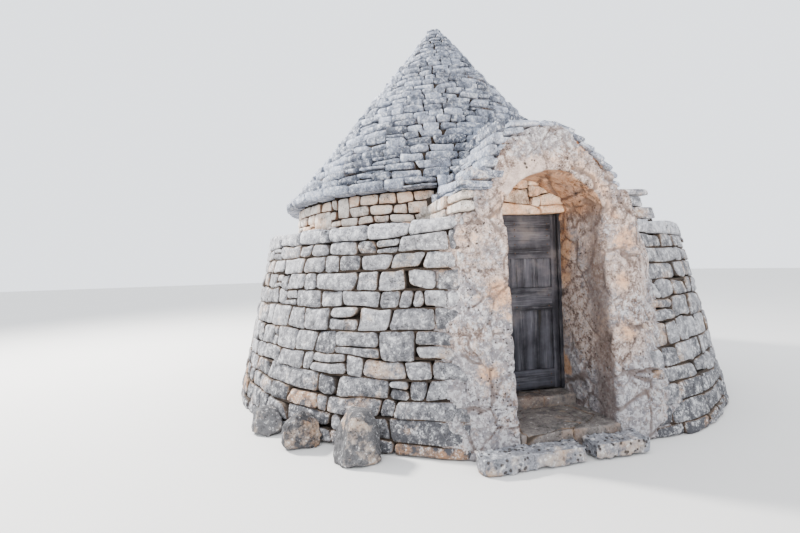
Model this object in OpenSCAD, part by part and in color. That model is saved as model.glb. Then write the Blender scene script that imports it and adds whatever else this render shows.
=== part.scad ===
// Trullo: a small dry stone house with a round room, a battered ring wall,
// a cone of coursed limestone slabs over a corbelled dome, and an arched portal.
// Millimetres. The origin is on the ground on the axis of the cone,
// +Z is up, and the portal looks towards -Y.

/* [Ring wall] */
// Outer radius of the ring wall at the ground
ring_foot_r = 2975; // [2900:5:3050]
// Inward lean of the ring wall's face per unit of height
ring_batter = 0.218; // [0.2:0.002:0.23]
// Distance of the ring wall's centre to the right of the cone's axis
ring_off_x = 290; // [240:5:320]
// Distance of the ring wall's centre in front of the cone's axis
ring_off_front = 80; // [40:5:110]
// Height of the ring wall under its coping
wall_h = 1700; // [1640:5:1740]
// Height of the open joints between the courses of the ring wall
bed_joint_h = 22; // [10:1:40]
// Depth of the open joints between the courses of the ring wall
bed_joint_d = 40; // [10:1:60]
// Thickness of the dome's foot inside the outer face of the drum
dome_foot_w = 535; // [500:5:600]
// Thickness of the coping course on the ring wall
coping_t = 170; // [120:5:200]
// Width of the coping course from its edge inwards
coping_w = 300; // [240:5:320]
// How far the earth on the ledge lies below the top of the coping
ledge_drop = 25; // [5:1:60]

/* [Drum and cone] */
// Least width of the ledge between the drum and the coping
ledge_min = 31; // [20:1:60]
// Thickness of the drum's stones
drum_t = 220; // [180:5:240]
// Height of the eave above the ground
eave_z = 2200; // [2150:5:2260]
// How far the straight cone stands out past the drum at the eave
cone_out = 111; // [90:1:130]
// How far the lowest course flares out past the straight cone
eave_flare = 60; // [20:5:90]
// Height of the flare above the eave
flare_h = 330; // [200:10:450]
// Height of the tip of the cone
tip_z = 4754; // [4650:2:4850]
// Radius of the small stone at the tip
tip_r = 62; // [40:2:90]
// Number of slab courses in the cone
course_n = 30; // [26:1:32]
// Height of the lowest course against the highest one
course_taper = 1.7; // [1:0.05:2]
// Depth of the cone's slabs from their outer edge inwards
slab_depth = 300; // [260:5:320]
// Height of the tip above the inside of the dome
tip_over_dome = 664; // [630:2:720]
// Number of corbelled rings in the dome
corbel_n = 18; // [12:1:24]
// Bow of the dome's inner line, where 1 is straight
dome_bow = 1.15; // [1.05:0.01:1.25]
// Thickness of the slab that closes the dome
closing_t = 70; // [50:5:90]

/* [Portal] */
// Distance of the portal's middle to the right of the cone's axis
portal_x = 25; // [0:5:50]
// Width of the niche and of the passage
niche_w = 880; // [840:5:920]
// Width of the left pier beside the niche
left_pier_w = 355; // [320:5:400]
// Width of the right pier beside the niche
right_pier_w = 335; // [300:5:380]
// How far the portal's front stands behind the foremost point of the ring wall
front_set = 135; // [110:5:165]
// Lean of the portal's front per unit of height
front_batter = 0.07; // [0.04:0.005:0.09]
// Width of the flat front to the left of the niche before it turns
left_flat_w = 205; // [160:5:240]
// Width of the flat front to the right of the niche before it turns
right_flat_w = 275; // [240:5:300]
// Thickness of the gable wall at the springing
gable_t = 300; // [240:5:340]
// Height of the arch's springing above the ground
spring_z = 1950; // [1940:2:1970]
// Height of the arch's crown above the ground
crown_z = 2200; // [2180:2:2230]
// Height of the gable's highest point
gable_top_z = 2610; // [2580:5:2640]
// Radius of the gable's round head
gable_r = 620; // [590:5:640]
// Thickness of the slabs that cap the gable
gable_cap_t = 45; // [30:5:60]
// Height of one slab layer of the portal's roof
layer_h = 96; // [90:1:100]
// Number of slab layers of the portal's roof
layer_n = 8; // [7:1:8]
// Depth of the portal roof's slabs from their outer edge inwards
layer_depth = 230; // [200:5:260]
// How far the lowest slab layer stands out past the gable's round head
layer_eave = 40; // [20:5:60]
// Half width of the portal's roof where it meets the eave
valley_w = 766; // [740:2:800]
// Half width of the lowest slab layer where it ends over the left shoulder
shoulder_end_w = 785; // [760:5:795]
// How far each layer over the left shoulder steps back from the one below
shoulder_end_step = 92; // [80:2:100]
// Number of layers that run forward over the left shoulder
shoulder_end_n = 4; // [3:1:4]

/* [Doorway] */
// Depth of the niche from the portal's front at the ground to the door
niche_depth = 770; // [750:5:790]
// Height of the door sill's top
sill_z = 265; // [250:5:280]
// Depth of the door sill in front of the door
sill_front = 200; // [150:5:240]
// Height of the niche floor
niche_floor_z = 180; // [160:5:200]
// Height of the room floor
floor_z = 200; // [180:5:230]
// Height of the lintels' underside
lintel_z = 1920; // [1910:2:1930]
// Thickness of the lintels
lintel_t = 100; // [80:2:120]
// How far the wall over the lintel stands in front of the door
head_front = 100; // [80:5:130]
// Width of the left slab of the niche floor, as a share of the niche
floor_split = 0.45; // [0.35:0.01:0.65]
// Open joint between the slabs of the niche floor and between the lintels
slab_joint = 4; // [2:0.5:8]

/* [Threshold] */
// Height of the two rough slabs in front of the niche
threshold_z = 135; // [110:5:150]
// How far the rough slabs stand out in front of the portal
threshold_out = 200; // [160:5:240]
// Length of the left slab
threshold_left_w = 830; // [780:5:860]
// Length of the right slab
threshold_right_w = 500; // [460:5:560]
// Gap between the two slabs
threshold_gap = 45; // [20:5:70]

/* [Door] */
// Width of each door post
post_w = 30; // [25:1:45]
// Depth of each door post
post_d = 72; // [60:2:90]
// How far the posts stand in front of the door leaf
post_out = 15; // [5:1:25]
// Gap round the door leaf
leaf_gap = 7; // [6:0.5:9]
// Thickness of the door leaf
leaf_t = 45; // [38:1:50]
// Width of the stiles
stile_w = 62; // [50:2:75]
// Height of the top group of horizontal boards
top_group_h = 405; // [380:5:420]
// Height of the upper field of upright boards
upper_field_h = 275; // [250:5:290]
// Height of the middle rail
mid_rail_h = 215; // [190:5:230]
// Height of the bottom rail
bottom_rail_h = 180; // [150:5:200]
// Thickness of the upright boards between the stiles
board_t = 22; // [18:1:26]
// How far the horizontal boards lie behind the front of the stiles
top_board_set = 3; // [1:0.5:6]
// Number of upright boards in a field
board_n = 5; // [4:1:7]
// Gap between neighbouring boards
board_gap = 1; // [0.5:0.1:2]
// Largest angle to which the door opens inwards
door_swing = 90; // [60:5:90]
// Height of the lower hinge above the foot of the leaf
lower_hinge_up = 260; // [200:10:320]
// Distance of the upper hinge from the top of the leaf
upper_hinge_down = 300; // [240:10:360]
// Radius of the pintle's pin
pin_r = 8; // [7:0.5:9]
// Width of the pintle's collar round the pin
collar_w = 3; // [2:0.5:5]
// Height of the pintle's collar
collar_h = 13; // [10:1:18]
// How far the pin stands up above the strap
pin_up = 10; // [6:1:16]
// Thickness of the strap's eye round the pin
eye_t = 6; // [4:0.5:8]
// Length of the hinge straps
strap_l = 480; // [400:10:560]
// Height of the hinge straps
strap_h = 42; // [36:1:50]
// Thickness of the hinge straps
strap_t = 6; // [4:0.5:7]

/* [Foot boulders and shoulder] */
// Size of the largest boulder at the foot of the ring wall
boulder = 430; // [360:10:480]
// Width of the lowest shoulder block beside the portal
shoulder_w = 500; // [440:10:540]
// Distance of the shoulder blocks behind the portal's front at the ground
shoulder_set = 480; // [440:10:520]
// Depth of the shoulder blocks
shoulder_d = 330; // [280:10:360]

/* [Hidden] */
$fn = 360;
// Clearance between curved faces that would otherwise touch
fit = 0.5;
// Overshoot of a cutting solid past the face that it cuts
over = 10;
// Size of a block larger than the house
big = 9000;
full_turn = 360;
wedge_turn = full_turn / 8;
quarter_turn = full_turn / 4;

coping_z = wall_h + coping_t;
ledge_z = coping_z - ledge_drop;
ring_top_r = ring_foot_r - ring_batter * coping_z;
coping_in_r = ring_top_r - coping_w;
drum_r = coping_in_r - norm([ring_off_x, ring_off_front]) - ledge_min;
drum_in_r = drum_r - drum_t;
room_r = drum_r - dome_foot_w;
cone_r = drum_r + cone_out;
dome_top_z = tip_z - tip_over_dome;
front_y = ring_foot_r + ring_off_front - front_set;
door_y = front_y - niche_depth;

niche_l = portal_x - niche_w / 2;
niche_r = portal_x + niche_w / 2;
portal_l = niche_l - left_pier_w;
portal_r = niche_r + right_pier_w;
lintel_top_z = lintel_z + lintel_t;
head_y = door_y + head_front;
sill_back = door_y - leaf_t - post_d;

// The flat front turns back along a plane that would touch the ring wall just above its coping
turn_x = niche_l - left_flat_w;
touch_z = coping_z + coping_t / 2;
touch_r = ring_foot_r - ring_batter * touch_z;
turn_dx = ring_off_x - turn_x;
turn_dy = front_y - front_batter * touch_z - ring_off_front;
turn_angle = atan2(turn_dx, turn_dy) + acos(touch_r / norm([turn_dx, turn_dy]));
right_turn_x = niche_r + right_flat_w;
right_turn_dx = right_turn_x - ring_off_x;
right_turn_angle = atan2(right_turn_dx, turn_dy) + acos(touch_r / norm([right_turn_dx, turn_dy]));
front_lean = atan(front_batter);

// Arch of the niche, a part of a circle
arch_rise = crown_z - spring_z;
arch_r = (pow(niche_w / 2, 2) + pow(arch_rise, 2)) / (2 * arch_rise);
gable_mid_z = gable_top_z - gable_r;
shoulder_z = gable_mid_z + gable_cap_t;
gable_back_y = front_y - front_batter * spring_z - gable_t;

// Heights and radii of the cone's courses, each a little lower than the one below
course_sum = course_n * (course_taper + 1) / 2;
course_unit = (tip_z - eave_z) / course_sum;
function course_h(i) = course_unit * (course_taper + (1 - course_taper) * i / (course_n - 1));
function course_z(i) = i <= 0 ? eave_z : course_z(i - 1) + course_h(i - 1);
cone_slope = (tip_z - eave_z) / (cone_r - tip_r);
function flare(z) = z > eave_z + flare_h ? 0 : eave_flare * pow(1 - (z - eave_z) / flare_h, 2);
function cone_at(z) = cone_r - (z - eave_z) / cone_slope + flare(z);
function course_r(i) = cone_at(course_z(i));
course_list = [for (i = [0 : course_n]) course_z(i)];
function courses_below(z) = len([for (c = course_list) if (c < z - fit) c]);
band_0 = 2;
band_1 = round(course_n / 5);
band_2 = round(course_n / 2.2);
band_top = courses_below(dome_top_z + closing_t);

// Corbelled rings of the dome
corbel_h = (dome_top_z - wall_h) / corbel_n;
// The rings' inner edges lie on a bowed line that starts a little inside the room's wall
corbel_start = 0.35;
corbel_end = 0.9;
function corbel_z(i) = wall_h + corbel_h * i;
function corbel_r(i) = room_r * (1 - pow((i + corbel_start) / (corbel_n + corbel_end), dome_bow));

// Heights of the joints between the ring wall's courses, as shares of its height
bed_shares = [0.059, 0.15, 0.244, 0.326, 0.424, 0.544, 0.653, 0.744, 0.844, 0.926];

// Slab layers of the portal's roof
function layer_z(j) = lintel_top_z + layer_h * j;
function layer_back(j) = valley_w - (layer_z(j) + layer_h / 2 - eave_z);
layers_in_front = 5;
layer_run = 190;
layer_end_y = drum_r - drum_t * 3;
layer_front_z = gable_top_z - layer_h / 2;
function layer_start(j) =
    gable_back_y - (layer_z(j) < layer_front_z ? 0 : (j - layers_in_front) * layer_run);
function layer_right_w(j) =
    let (rise = layer_z(j) + layer_h / 2 - gable_mid_z)
    (rise < gable_r ? sqrt(pow(gable_r, 2) - pow(rise, 2)) : layer_back(j)) + (j == 0 ? layer_eave : 0);
function shoulder_end(j) = shoulder_end_w - shoulder_end_step * j;
function layer_left_w(j) =
    j < shoulder_end_n ? max(shoulder_end(j), layer_right_w(j)) : layer_right_w(j);

// Door leaf and its hinge
leaf_l = niche_l + post_w + leaf_gap;
leaf_r = niche_r - post_w - leaf_gap;
leaf_w = leaf_r - leaf_l;
leaf_z = sill_z + leaf_gap + slab_joint / 2;
leaf_top = lintel_z - 2 * leaf_gap;
leaf_h = leaf_top - leaf_z;
leaf_back_y = door_y - leaf_t;
post_y = door_y + post_out;
post_back_y = post_y - post_d;
eye_r = pin_r + eye_t;
eye_gap = 3;
hinge_x = leaf_l;
hinge_y = post_back_y - eye_r - eye_gap;
hinge_zs = [leaf_z + lower_hinge_up, leaf_top - upper_hinge_down];
pin_play = 1;
field_w = leaf_w - 2 * stile_w;
lower_field_h = leaf_h - top_group_h - upper_field_h - mid_rail_h - bottom_rail_h;
mid_rail_z = leaf_z + bottom_rail_h + lower_field_h;
upper_field_z = mid_rail_z + mid_rail_h;
top_group_z = upper_field_z + upper_field_h;

// Colours as the photographed house shows them
stone_grey = "#a8a39b";
stone_pale = "#b9b4ab";
slab_grey = "#9c9da1";
stone_warm = "#c9a98a";
plaster = "#b8a594";
earth = "#8a7a66";
wood_grey = "#55504e";
iron_dark = "#3d3833";

// A block given by its lowest and highest corner
module block(low, high) {
    translate(low) cube(high - low);
}

// Everything further than an inset behind an upright plane that leans back from the ground point x, -y
module behind(x, y, turn, lean, inset) {
    translate([x, -y, 0]) rotate([0, 0, -turn]) rotate([-lean, 0, 0])
        translate([-big, inset, -big]) cube([2 * big, 2 * big, 2 * big]);
}

module behind_front(inset = 0) {
    behind(turn_x, front_y, 0, front_lean, inset);
}

// Everything behind the plane through the front's edge at x that turns back by an angle
module behind_turn(x, turn, inset = 0) {
    behind(x, front_y, turn, atan(front_batter * cos(turn)), inset);
}

// Outer form of the ring wall between two heights, drawn in by an inset
module ring_frustum(z0, z1, inset) {
    foot_r = ring_foot_r - inset;
    translate([ring_off_x, -ring_off_front, z0])
        cylinder(h = z1 - z0, r1 = foot_r - ring_batter * z0, r2 = foot_r - ring_batter * z1);
}

// Plan sector round a point, from one angle to another
module sector(from, to, z0, z1) {
    mid = (from + to) / 2;
    translate([0, 0, z0]) linear_extrude(z1 - z0)
        polygon([[0, 0], for (turn = [from, mid, to]) big * [cos(turn), sin(turn)]]);
}

// Both ends of the front turn back until they touch the ring wall
module turned_corners(z0, z1, inset) {
    intersection() {
        translate([ring_off_x, -ring_off_front, 0])
            sector(3 * quarter_turn - turn_angle, 3 * quarter_turn, z0, z1);
        block([-big, -big, z0], [portal_x, -room_r, z1]);
        behind_turn(turn_x, turn_angle, inset);
    }
    intersection() {
        translate([ring_off_x, -ring_off_front, 0])
            sector(3 * quarter_turn, 3 * quarter_turn + right_turn_angle, z0, z1);
        block([portal_x, -big, z0], [big, -room_r, z1]);
        behind_turn(right_turn_x, -right_turn_angle, inset);
    }
}

// The ring wall's outer form with its flat front and its turned corners
module wall_mass(z0, z1, inset = 0) {
    intersection() {
        union() {
            ring_frustum(z0, z1, inset);
            turned_corners(z0, z1, inset);
        }
        behind_front(inset);
    }
}

// The open joints between the wall's courses, which are of uneven height
module bed_joints() {
    for (share = bed_shares) {
        z0 = wall_h * share - bed_joint_h / 2;
        z1 = z0 + bed_joint_h;
        difference() {
            translate([ring_off_x, -ring_off_front, z0])
                cylinder(h = bed_joint_h, r = 2 * ring_foot_r);
            wall_mass(z0 - over, z1 + over, bed_joint_d);
        }
    }
}

module room_void(z0, z1) {
    translate([0, 0, z0 - over]) cylinder(h = z1 - z0 + 2 * over, r = room_r);
}

module portal_zone(z0, z1) {
    block([portal_l, -big, z0], [portal_r, 0, z1]);
}

// One eighth of the ring wall
module wall_segment(step) {
    color(stone_grey) difference() {
        intersection() {
            wall_mass(0, wall_h);
            sector(step * wedge_turn, (step + 1) * wedge_turn, 0, wall_h);
        }
        room_void(0, wall_h);
        portal_zone(-over, wall_h + over);
        bed_joints();
    }
}

// Half of the coping course, from one angle to another
module coping(from, to) {
    color(stone_pale) difference() {
        intersection() {
            wall_mass(wall_h, coping_z);
            sector(from, from + quarter_turn, wall_h, coping_z);
        }
        coping_void();
    }
    color(stone_pale) difference() {
        intersection() {
            wall_mass(wall_h, coping_z);
            sector(to - quarter_turn, to, wall_h, coping_z);
        }
        coping_void();
    }
}

module coping_void() {
    translate([ring_off_x, -ring_off_front, wall_h - over])
        cylinder(h = coping_t + 2 * over, r = coping_in_r);
    portal_zone(wall_h - over, coping_z + over);
}

module ledge_fill() {
    color(earth) difference() {
        translate([ring_off_x, -ring_off_front, wall_h])
            cylinder(h = ledge_z - wall_h, r = coping_in_r - fit);
        translate([0, 0, wall_h - over]) cylinder(h = coping_t + 2 * over, r = drum_r + fit);
        portal_zone(wall_h - over, coping_z + over);
    }
}

module drum() {
    color(stone_warm) difference() {
        translate([0, 0, wall_h]) cylinder(h = eave_z - wall_h, r = drum_r);
        translate([0, 0, wall_h - over]) cylinder(h = eave_z - wall_h + 2 * over, r = drum_in_r + fit);
        portal_zone(wall_h - over, lintel_top_z);
    }
}

// Stepped outline of courses first to last, drawn inwards by a distance
function course_steps(first, last, inset) =
    [for (i = [first : last - 1], z = [course_z(i), course_z(i + 1)]) [course_r(i) - inset, z]];
function reversed(list) = [for (i = [len(list) - 1 : -1 : 0]) list[i]];

// A band of slab courses that rest on each other and on the dome behind them
module slab_courses(first, last) {
    color(slab_grey) rotate_extrude()
        polygon(concat(course_steps(first, last, 0), reversed(course_steps(first, last, slab_depth))));
}

module roof_cap() {
    color(slab_grey) rotate_extrude()
        polygon(concat([[0, course_z(band_top)]], course_steps(band_top, course_n, 0), [[0, tip_z]]));
}

// Corbelled outline of the dome's inside between two heights
function corbel_steps(z0, z1) =
    [for (i = [0 : corbel_n - 1]) if (corbel_z(i) < z1 - fit && corbel_z(i + 1) > z0 + fit)
        each [[corbel_r(i), max(corbel_z(i), z0)], [corbel_r(i), min(corbel_z(i + 1), z1)]]];

// A lift of the dome: corbels inside, and outside the steps on which the slabs rest
module dome_band(first, last) {
    z0 = first > 0 ? course_z(first) : wall_h;
    z1 = last < band_top ? course_z(last) : dome_top_z;
    base = first > 0 ? [] : [[drum_in_r, wall_h], [drum_in_r, eave_z]];
    back = [for (p = course_steps(first, last, slab_depth + fit)) [p[0], min(p[1], z1)]];
    color(stone_pale) rotate_extrude()
        polygon(concat(base, back, reversed(corbel_steps(z0, z1))));
}

// The lowest lift stands on the ring wall, open where the passage runs under it
module dome_foot() {
    color(stone_pale) difference() {
        dome_band(0, band_0);
        portal_zone(wall_h - over, lintel_top_z);
    }
}

module dome_closing_slab() {
    color(stone_pale) translate([0, 0, dome_top_z])
        cylinder(h = closing_t, r = course_r(band_top - 1) - slab_depth - fit);
}

// The round head of the gable in the plane of the gable
module gable_head(r) {
    translate([portal_x, gable_mid_z]) circle(r = r);
}

// Opening of the niche in the plane of the gable
module niche_shape() {
    translate([niche_l, -over]) square([niche_w, spring_z + over]);
    intersection() {
        translate([portal_x, crown_z - arch_r]) circle(r = arch_r);
        translate([niche_l, spring_z - over]) square([niche_w, arch_rise + 2 * over]);
    }
}

// A shape in the gable's plane, run through from one distance to another
module along_portal(y_front, y_back) {
    translate([0, -y_back, 0]) rotate([quarter_turn, 0, 0]) linear_extrude(y_front - y_back) children();
}

module pier(x0, x1) {
    color(plaster) difference() {
        intersection() {
            block([x0, -big, 0], [x1, -room_r / 2, lintel_z]);
            behind_front();
            behind_turn(turn_x, turn_angle);
            behind_turn(right_turn_x, -right_turn_angle);
        }
        room_void(0, lintel_z);
    }
}

module portal_gable() {
    color(plaster) intersection() {
        along_portal(big, gable_back_y) difference() {
            union() {
                intersection() {
                    gable_head(gable_r - gable_cap_t - fit);
                    translate([portal_l, lintel_z]) square([portal_r - portal_l, big]);
                }
                translate([portal_l, lintel_z]) square([portal_r - portal_l, shoulder_z - lintel_z]);
            }
            niche_shape();
        }
        behind_front();
        behind_turn(turn_x, turn_angle);
        behind_turn(right_turn_x, -right_turn_angle);
    }
}

module gable_cap_slabs() {
    color(stone_pale) intersection() {
        along_portal(big, gable_back_y) difference() {
            gable_head(gable_r);
            gable_head(gable_r - gable_cap_t);
            translate([-big, -big]) square([2 * big, big + shoulder_z]);
        }
        behind_front();
    }
}

// One slab layer of the portal's roof, drawn inwards by a distance
module roof_layer(j, inset) {
    left = layer_left_w(j) - inset;
    right = layer_right_w(j) - inset;
    back = layer_back(j) - inset;
    if (right > 0 && back > 0)
        translate([portal_x, 0, layer_z(j)]) linear_extrude(layer_h)
            polygon([[-left, -layer_start(j)], [right, -layer_start(j)],
                     [back, -layer_end_y], [-back, -layer_end_y]]);
}

// The lower layers run forward to the portal's front over its left shoulder
module shoulder_ends() {
    intersection() {
        difference() {
            for (j = [0 : shoulder_end_n - 1])
                block([portal_x - shoulder_end(j), -big, max(layer_z(j), shoulder_z)],
                      [portal_x, -gable_back_y + over, layer_z(j + 1)]);
            along_portal(big, 0) gable_head(gable_r + fit);
        }
        behind_front();
    }
}

// Everything that the drum and the cone take up
module cone_void() {
    translate([0, 0, wall_h]) cylinder(h = eave_z - wall_h + over, r = drum_r + fit);
    rotate_extrude() polygon(concat([[0, eave_z]], course_steps(0, course_n, -fit), [[0, tip_z]]));
}

module portal_core(y_front, y_back) {
    difference() {
        union() {
            intersection() {
                for (j = [0 : layer_n - 1]) roof_layer(j, layer_depth);
                block([-big, -y_front, lintel_z], [big, -y_back, tip_z]);
            }
            children();
        }
        cone_void();
    }
}

module portal_vault() {
    color(stone_warm) difference() {
        portal_core(gable_back_y, head_y)
            block([portal_l, -gable_back_y, lintel_z], [portal_r, -head_y, lintel_top_z]);
        along_portal(big, 0) niche_shape();
    }
}

module door_head_wall() {
    color(stone_warm) portal_core(head_y, layer_end_y);
}

module portal_roof(side) {
    color(slab_grey) difference() {
        intersection() {
            union() {
                for (j = [0 : layer_n - 1]) difference() {
                    roof_layer(j, 0);
                    roof_layer(j, layer_depth);
                }
                shoulder_ends();
            }
            translate([portal_x, 0, 0]) mirror([side < 0 ? 1 : 0, 0, 0])
                block([0, -big, 0], [big, 0, big]);
        }
        cone_void();
    }
}

module door_lintels() {
    ends = [[portal_l, portal_x - slab_joint / 2], [portal_x + slab_joint / 2, portal_r]];
    color(stone_warm) for (side = ends)
        block([side[0], -head_y, lintel_z], [side[1], -sill_back, lintel_top_z]);
}

module passage_lintels() {
    color(stone_pale) difference() {
        block([portal_l, -sill_back, lintel_z], [portal_r, -room_r / 2, lintel_top_z]);
        translate([0, 0, lintel_z - over]) cylinder(h = lintel_t + 2 * over, r = corbel_r(1));
    }
}

module shoulder_blocks() {
    shoulder_y = front_y - shoulder_set;
    // Each block's share of the lowest one's width, and its height
    steps = [[1, 85], [0.74, 95], [0.82, 68]];
    function step_z(i) = i == 0 ? coping_z : step_z(i - 1) + steps[i - 1][1];
    color(stone_pale) for (i = [0 : len(steps) - 1])
        block([portal_r, -shoulder_y, step_z(i)],
              [portal_r + shoulder_w * steps[i][0], -shoulder_y + shoulder_d, step_z(i + 1)]);
}

module room_floor() {
    color(stone_pale) {
        cylinder(h = floor_z, r = room_r - fit);
        difference() {
            block([niche_l, -sill_back, 0], [niche_r, 0, floor_z]);
            translate([0, 0, -over]) cylinder(h = floor_z + 2 * over, r = room_r - slab_joint / 2);
        }
    }
}

module niche_floor() {
    depth = front_y - door_y - sill_front;
    split_x = niche_l + niche_w * floor_split;
    color(stone_warm) for (side = [[niche_l, split_x], [split_x + slab_joint, niche_r]], row = [0, 1]) {
        y0 = front_y - depth * row / 2;
        block([side[0], -y0 + slab_joint * row, 0], [side[1], -y0 + depth / 2, niche_floor_z]);
    }
}

module door_sill() {
    color(stone_warm) block([niche_l, -door_y - sill_front, 0], [niche_r, -sill_back, sill_z]);
}

module threshold_slabs() {
    split_x = portal_x + threshold_gap / 2;
    color(stone_pale) {
        block([split_x - threshold_gap / 2 - threshold_left_w, -front_y - threshold_out, 0],
              [split_x - threshold_gap / 2, -front_y - fit, threshold_z]);
        block([split_x + threshold_gap / 2, -front_y - threshold_out, 0],
              [split_x + threshold_gap / 2 + threshold_right_w, -front_y - fit, threshold_z]);
    }
}

// A boulder that leans on the ring wall: a ball cut flat, given its direction and size
module foot_boulder(turn, size, out) {
    ball_r = size * 0.62;
    ball_z = size * 0.35;
    half_w = size * 0.55;
    height = size * 0.85;
    difference() {
        translate([ring_off_x, -ring_off_front, 0]) rotate([0, 0, turn])
            translate([ring_foot_r + out, 0, 0]) rotate([0, 0, turn]) intersection() {
                translate([0, 0, ball_z]) sphere(r = ball_r);
                block([-size / 2, -half_w, 0], [size / 2, half_w, height]);
            }
        translate([0, 0, -over]) ring_grown();
    }
}

// The ring wall grown by the clearance, which the boulders lean on
module ring_grown() {
    foot_r = ring_foot_r + fit + ring_batter * over;
    translate([ring_off_x, -ring_off_front, 0])
        cylinder(h = wall_h, r1 = foot_r, r2 = foot_r - ring_batter * wall_h);
}

module foot_boulders() {
    // Each boulder's direction, its share of the largest one's size, and how far out it lies
    places = [[232.5, 1, 60], [222, 0.8, 60], [212, 0.7, 50]];
    color(stone_pale) for (p = places) foot_boulder(p[0], boulder * p[1], p[2]);
}

module door_posts() {
    color(wood_grey) for (x = [niche_l, niche_r - post_w])
        block([x, -post_y, sill_z], [x + post_w, -post_y + post_d, lintel_z]);
}

// An arm on the back of the post carries a collar and an upright pin
module hinge_pintles() {
    color(iron_dark) for (z = hinge_zs) {
        foot_z = z - collar_h - pin_play;
        translate([hinge_x, -hinge_y, foot_z]) cylinder(h = strap_h + collar_h + pin_up, r = pin_r);
        translate([hinge_x, -hinge_y, foot_z]) cylinder(h = collar_h, r = pin_r + collar_w);
        block([niche_l + slab_joint, -post_back_y, foot_z],
              [hinge_x, -hinge_y + pin_r, foot_z + collar_h]);
    }
}

// A strap on the back of the leaf, cranked out to the eye that turns on the pin
module door_straps() {
    color(iron_dark) for (z = hinge_zs) difference() {
        union() {
            translate([hinge_x, -hinge_y, z]) cylinder(h = strap_h, r = eye_r);
            block([hinge_x, -leaf_back_y, z], [hinge_x + eye_r, -hinge_y, z + strap_h]);
            block([hinge_x, -leaf_back_y, z], [hinge_x + strap_l, -leaf_back_y + strap_t, z + strap_h]);
        }
        translate([hinge_x, -hinge_y, z - over]) cylinder(h = strap_h + 2 * over, r = pin_r + pin_play);
    }
}

module door_stiles() {
    color(wood_grey) for (x = [leaf_l, leaf_r - stile_w])
        block([x, -door_y, leaf_z], [x + stile_w, -leaf_back_y, leaf_top]);
}

// A piece of the leaf between the stiles
module field_piece(x0, x1, z0, z1, t) {
    block([x0, -leaf_back_y - t, z0], [x1, -leaf_back_y, z1]);
}

module door_rails() {
    color(wood_grey) {
        field_piece(leaf_l + stile_w, leaf_r - stile_w, leaf_z, leaf_z + bottom_rail_h, leaf_t);
        field_piece(leaf_l + stile_w, leaf_r - stile_w, mid_rail_z, mid_rail_z + mid_rail_h, leaf_t);
    }
}

module door_top_boards() {
    // Where each board ends, as a share of the group's height
    shares = [0, 0.42, 0.71, 1];
    color(wood_grey) for (i = [0 : len(shares) - 2])
        field_piece(leaf_l + stile_w, leaf_r - stile_w,
            top_group_z + top_group_h * shares[i] + (i == 0 ? 0 : board_gap),
            top_group_z + top_group_h * shares[i + 1], leaf_t - top_board_set);
}

module door_upright_boards() {
    board_w = (field_w - (board_n - 1) * board_gap) / board_n;
    fields = [[leaf_z + bottom_rail_h, mid_rail_z], [upper_field_z, top_group_z]];
    color(wood_grey) for (f = fields, i = [0 : board_n - 1]) {
        x = leaf_l + stile_w + i * (board_w + board_gap);
        field_piece(x, x + board_w, f[0], f[1], board_t);
    }
}

wall_segment(5);  // wall_front_left
wall_segment(4);  // wall_left
wall_segment(3);  // wall_left_rear
wall_segment(2);  // wall_back_left
wall_segment(1);  // wall_back_right
wall_segment(0);  // wall_right_rear
wall_segment(7);  // wall_right
wall_segment(6);  // wall_front_right
coping(quarter_turn, 3 * quarter_turn);  // coping_left
coping(-quarter_turn, quarter_turn);  // coping_right
ledge_fill();
drum();
slab_courses(0, band_1);  // roof_lower_courses
slab_courses(band_1, band_2);  // roof_middle_courses
slab_courses(band_2, band_top);  // roof_upper_courses
roof_cap();
dome_foot();  // dome_lower
dome_band(band_0, band_2);  // dome_middle
dome_band(band_2, band_top);  // dome_upper
dome_closing_slab();
pier(portal_l, niche_l);  // portal_left_pier
pier(niche_r, portal_r);  // portal_right_pier
portal_gable();
gable_cap_slabs();
portal_vault();
door_head_wall();
portal_roof(-1);  // portal_roof_left
portal_roof(1);  // portal_roof_right
door_lintels();
passage_lintels();
shoulder_blocks();
room_floor();
niche_floor();
door_sill();
threshold_slabs();
foot_boulders();
door_posts();
hinge_pintles();
door_stiles();
door_rails();
door_top_boards();
door_upright_boards();
door_straps();
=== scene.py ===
"""Dresses the trullo: dry stone walls, a cone of slabs, a plastered portal and a plank door.

Metres, +Z up, the origin on the ground under the cone's axis, and the portal looks towards -Y.
"""
import logging
import math
from contextlib import contextmanager
from dataclasses import dataclass, field
from enum import Enum
from typing import Any, Callable, Iterator, Optional, Sequence, Union

import bpy
import numpy as np
from mathutils import Matrix, Vector


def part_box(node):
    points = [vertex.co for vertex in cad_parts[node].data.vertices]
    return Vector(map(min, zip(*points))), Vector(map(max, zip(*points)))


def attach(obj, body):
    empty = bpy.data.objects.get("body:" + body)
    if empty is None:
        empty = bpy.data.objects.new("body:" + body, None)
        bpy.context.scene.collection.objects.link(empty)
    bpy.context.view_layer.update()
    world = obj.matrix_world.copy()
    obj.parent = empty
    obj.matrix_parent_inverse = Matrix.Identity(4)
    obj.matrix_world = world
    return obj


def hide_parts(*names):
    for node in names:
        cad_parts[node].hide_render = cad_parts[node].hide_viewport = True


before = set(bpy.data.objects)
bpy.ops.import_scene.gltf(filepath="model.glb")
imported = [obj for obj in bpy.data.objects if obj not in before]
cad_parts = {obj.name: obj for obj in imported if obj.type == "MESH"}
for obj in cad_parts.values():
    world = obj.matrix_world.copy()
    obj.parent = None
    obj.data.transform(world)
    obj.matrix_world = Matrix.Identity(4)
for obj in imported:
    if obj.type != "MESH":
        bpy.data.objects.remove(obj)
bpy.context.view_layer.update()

LOG = logging.getLogger("trullo")
MARKS = "marks"
FACE_SLACK = 0.006
Colour = tuple[float, float, float]
Quad = Sequence[Sequence[float]]


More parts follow.
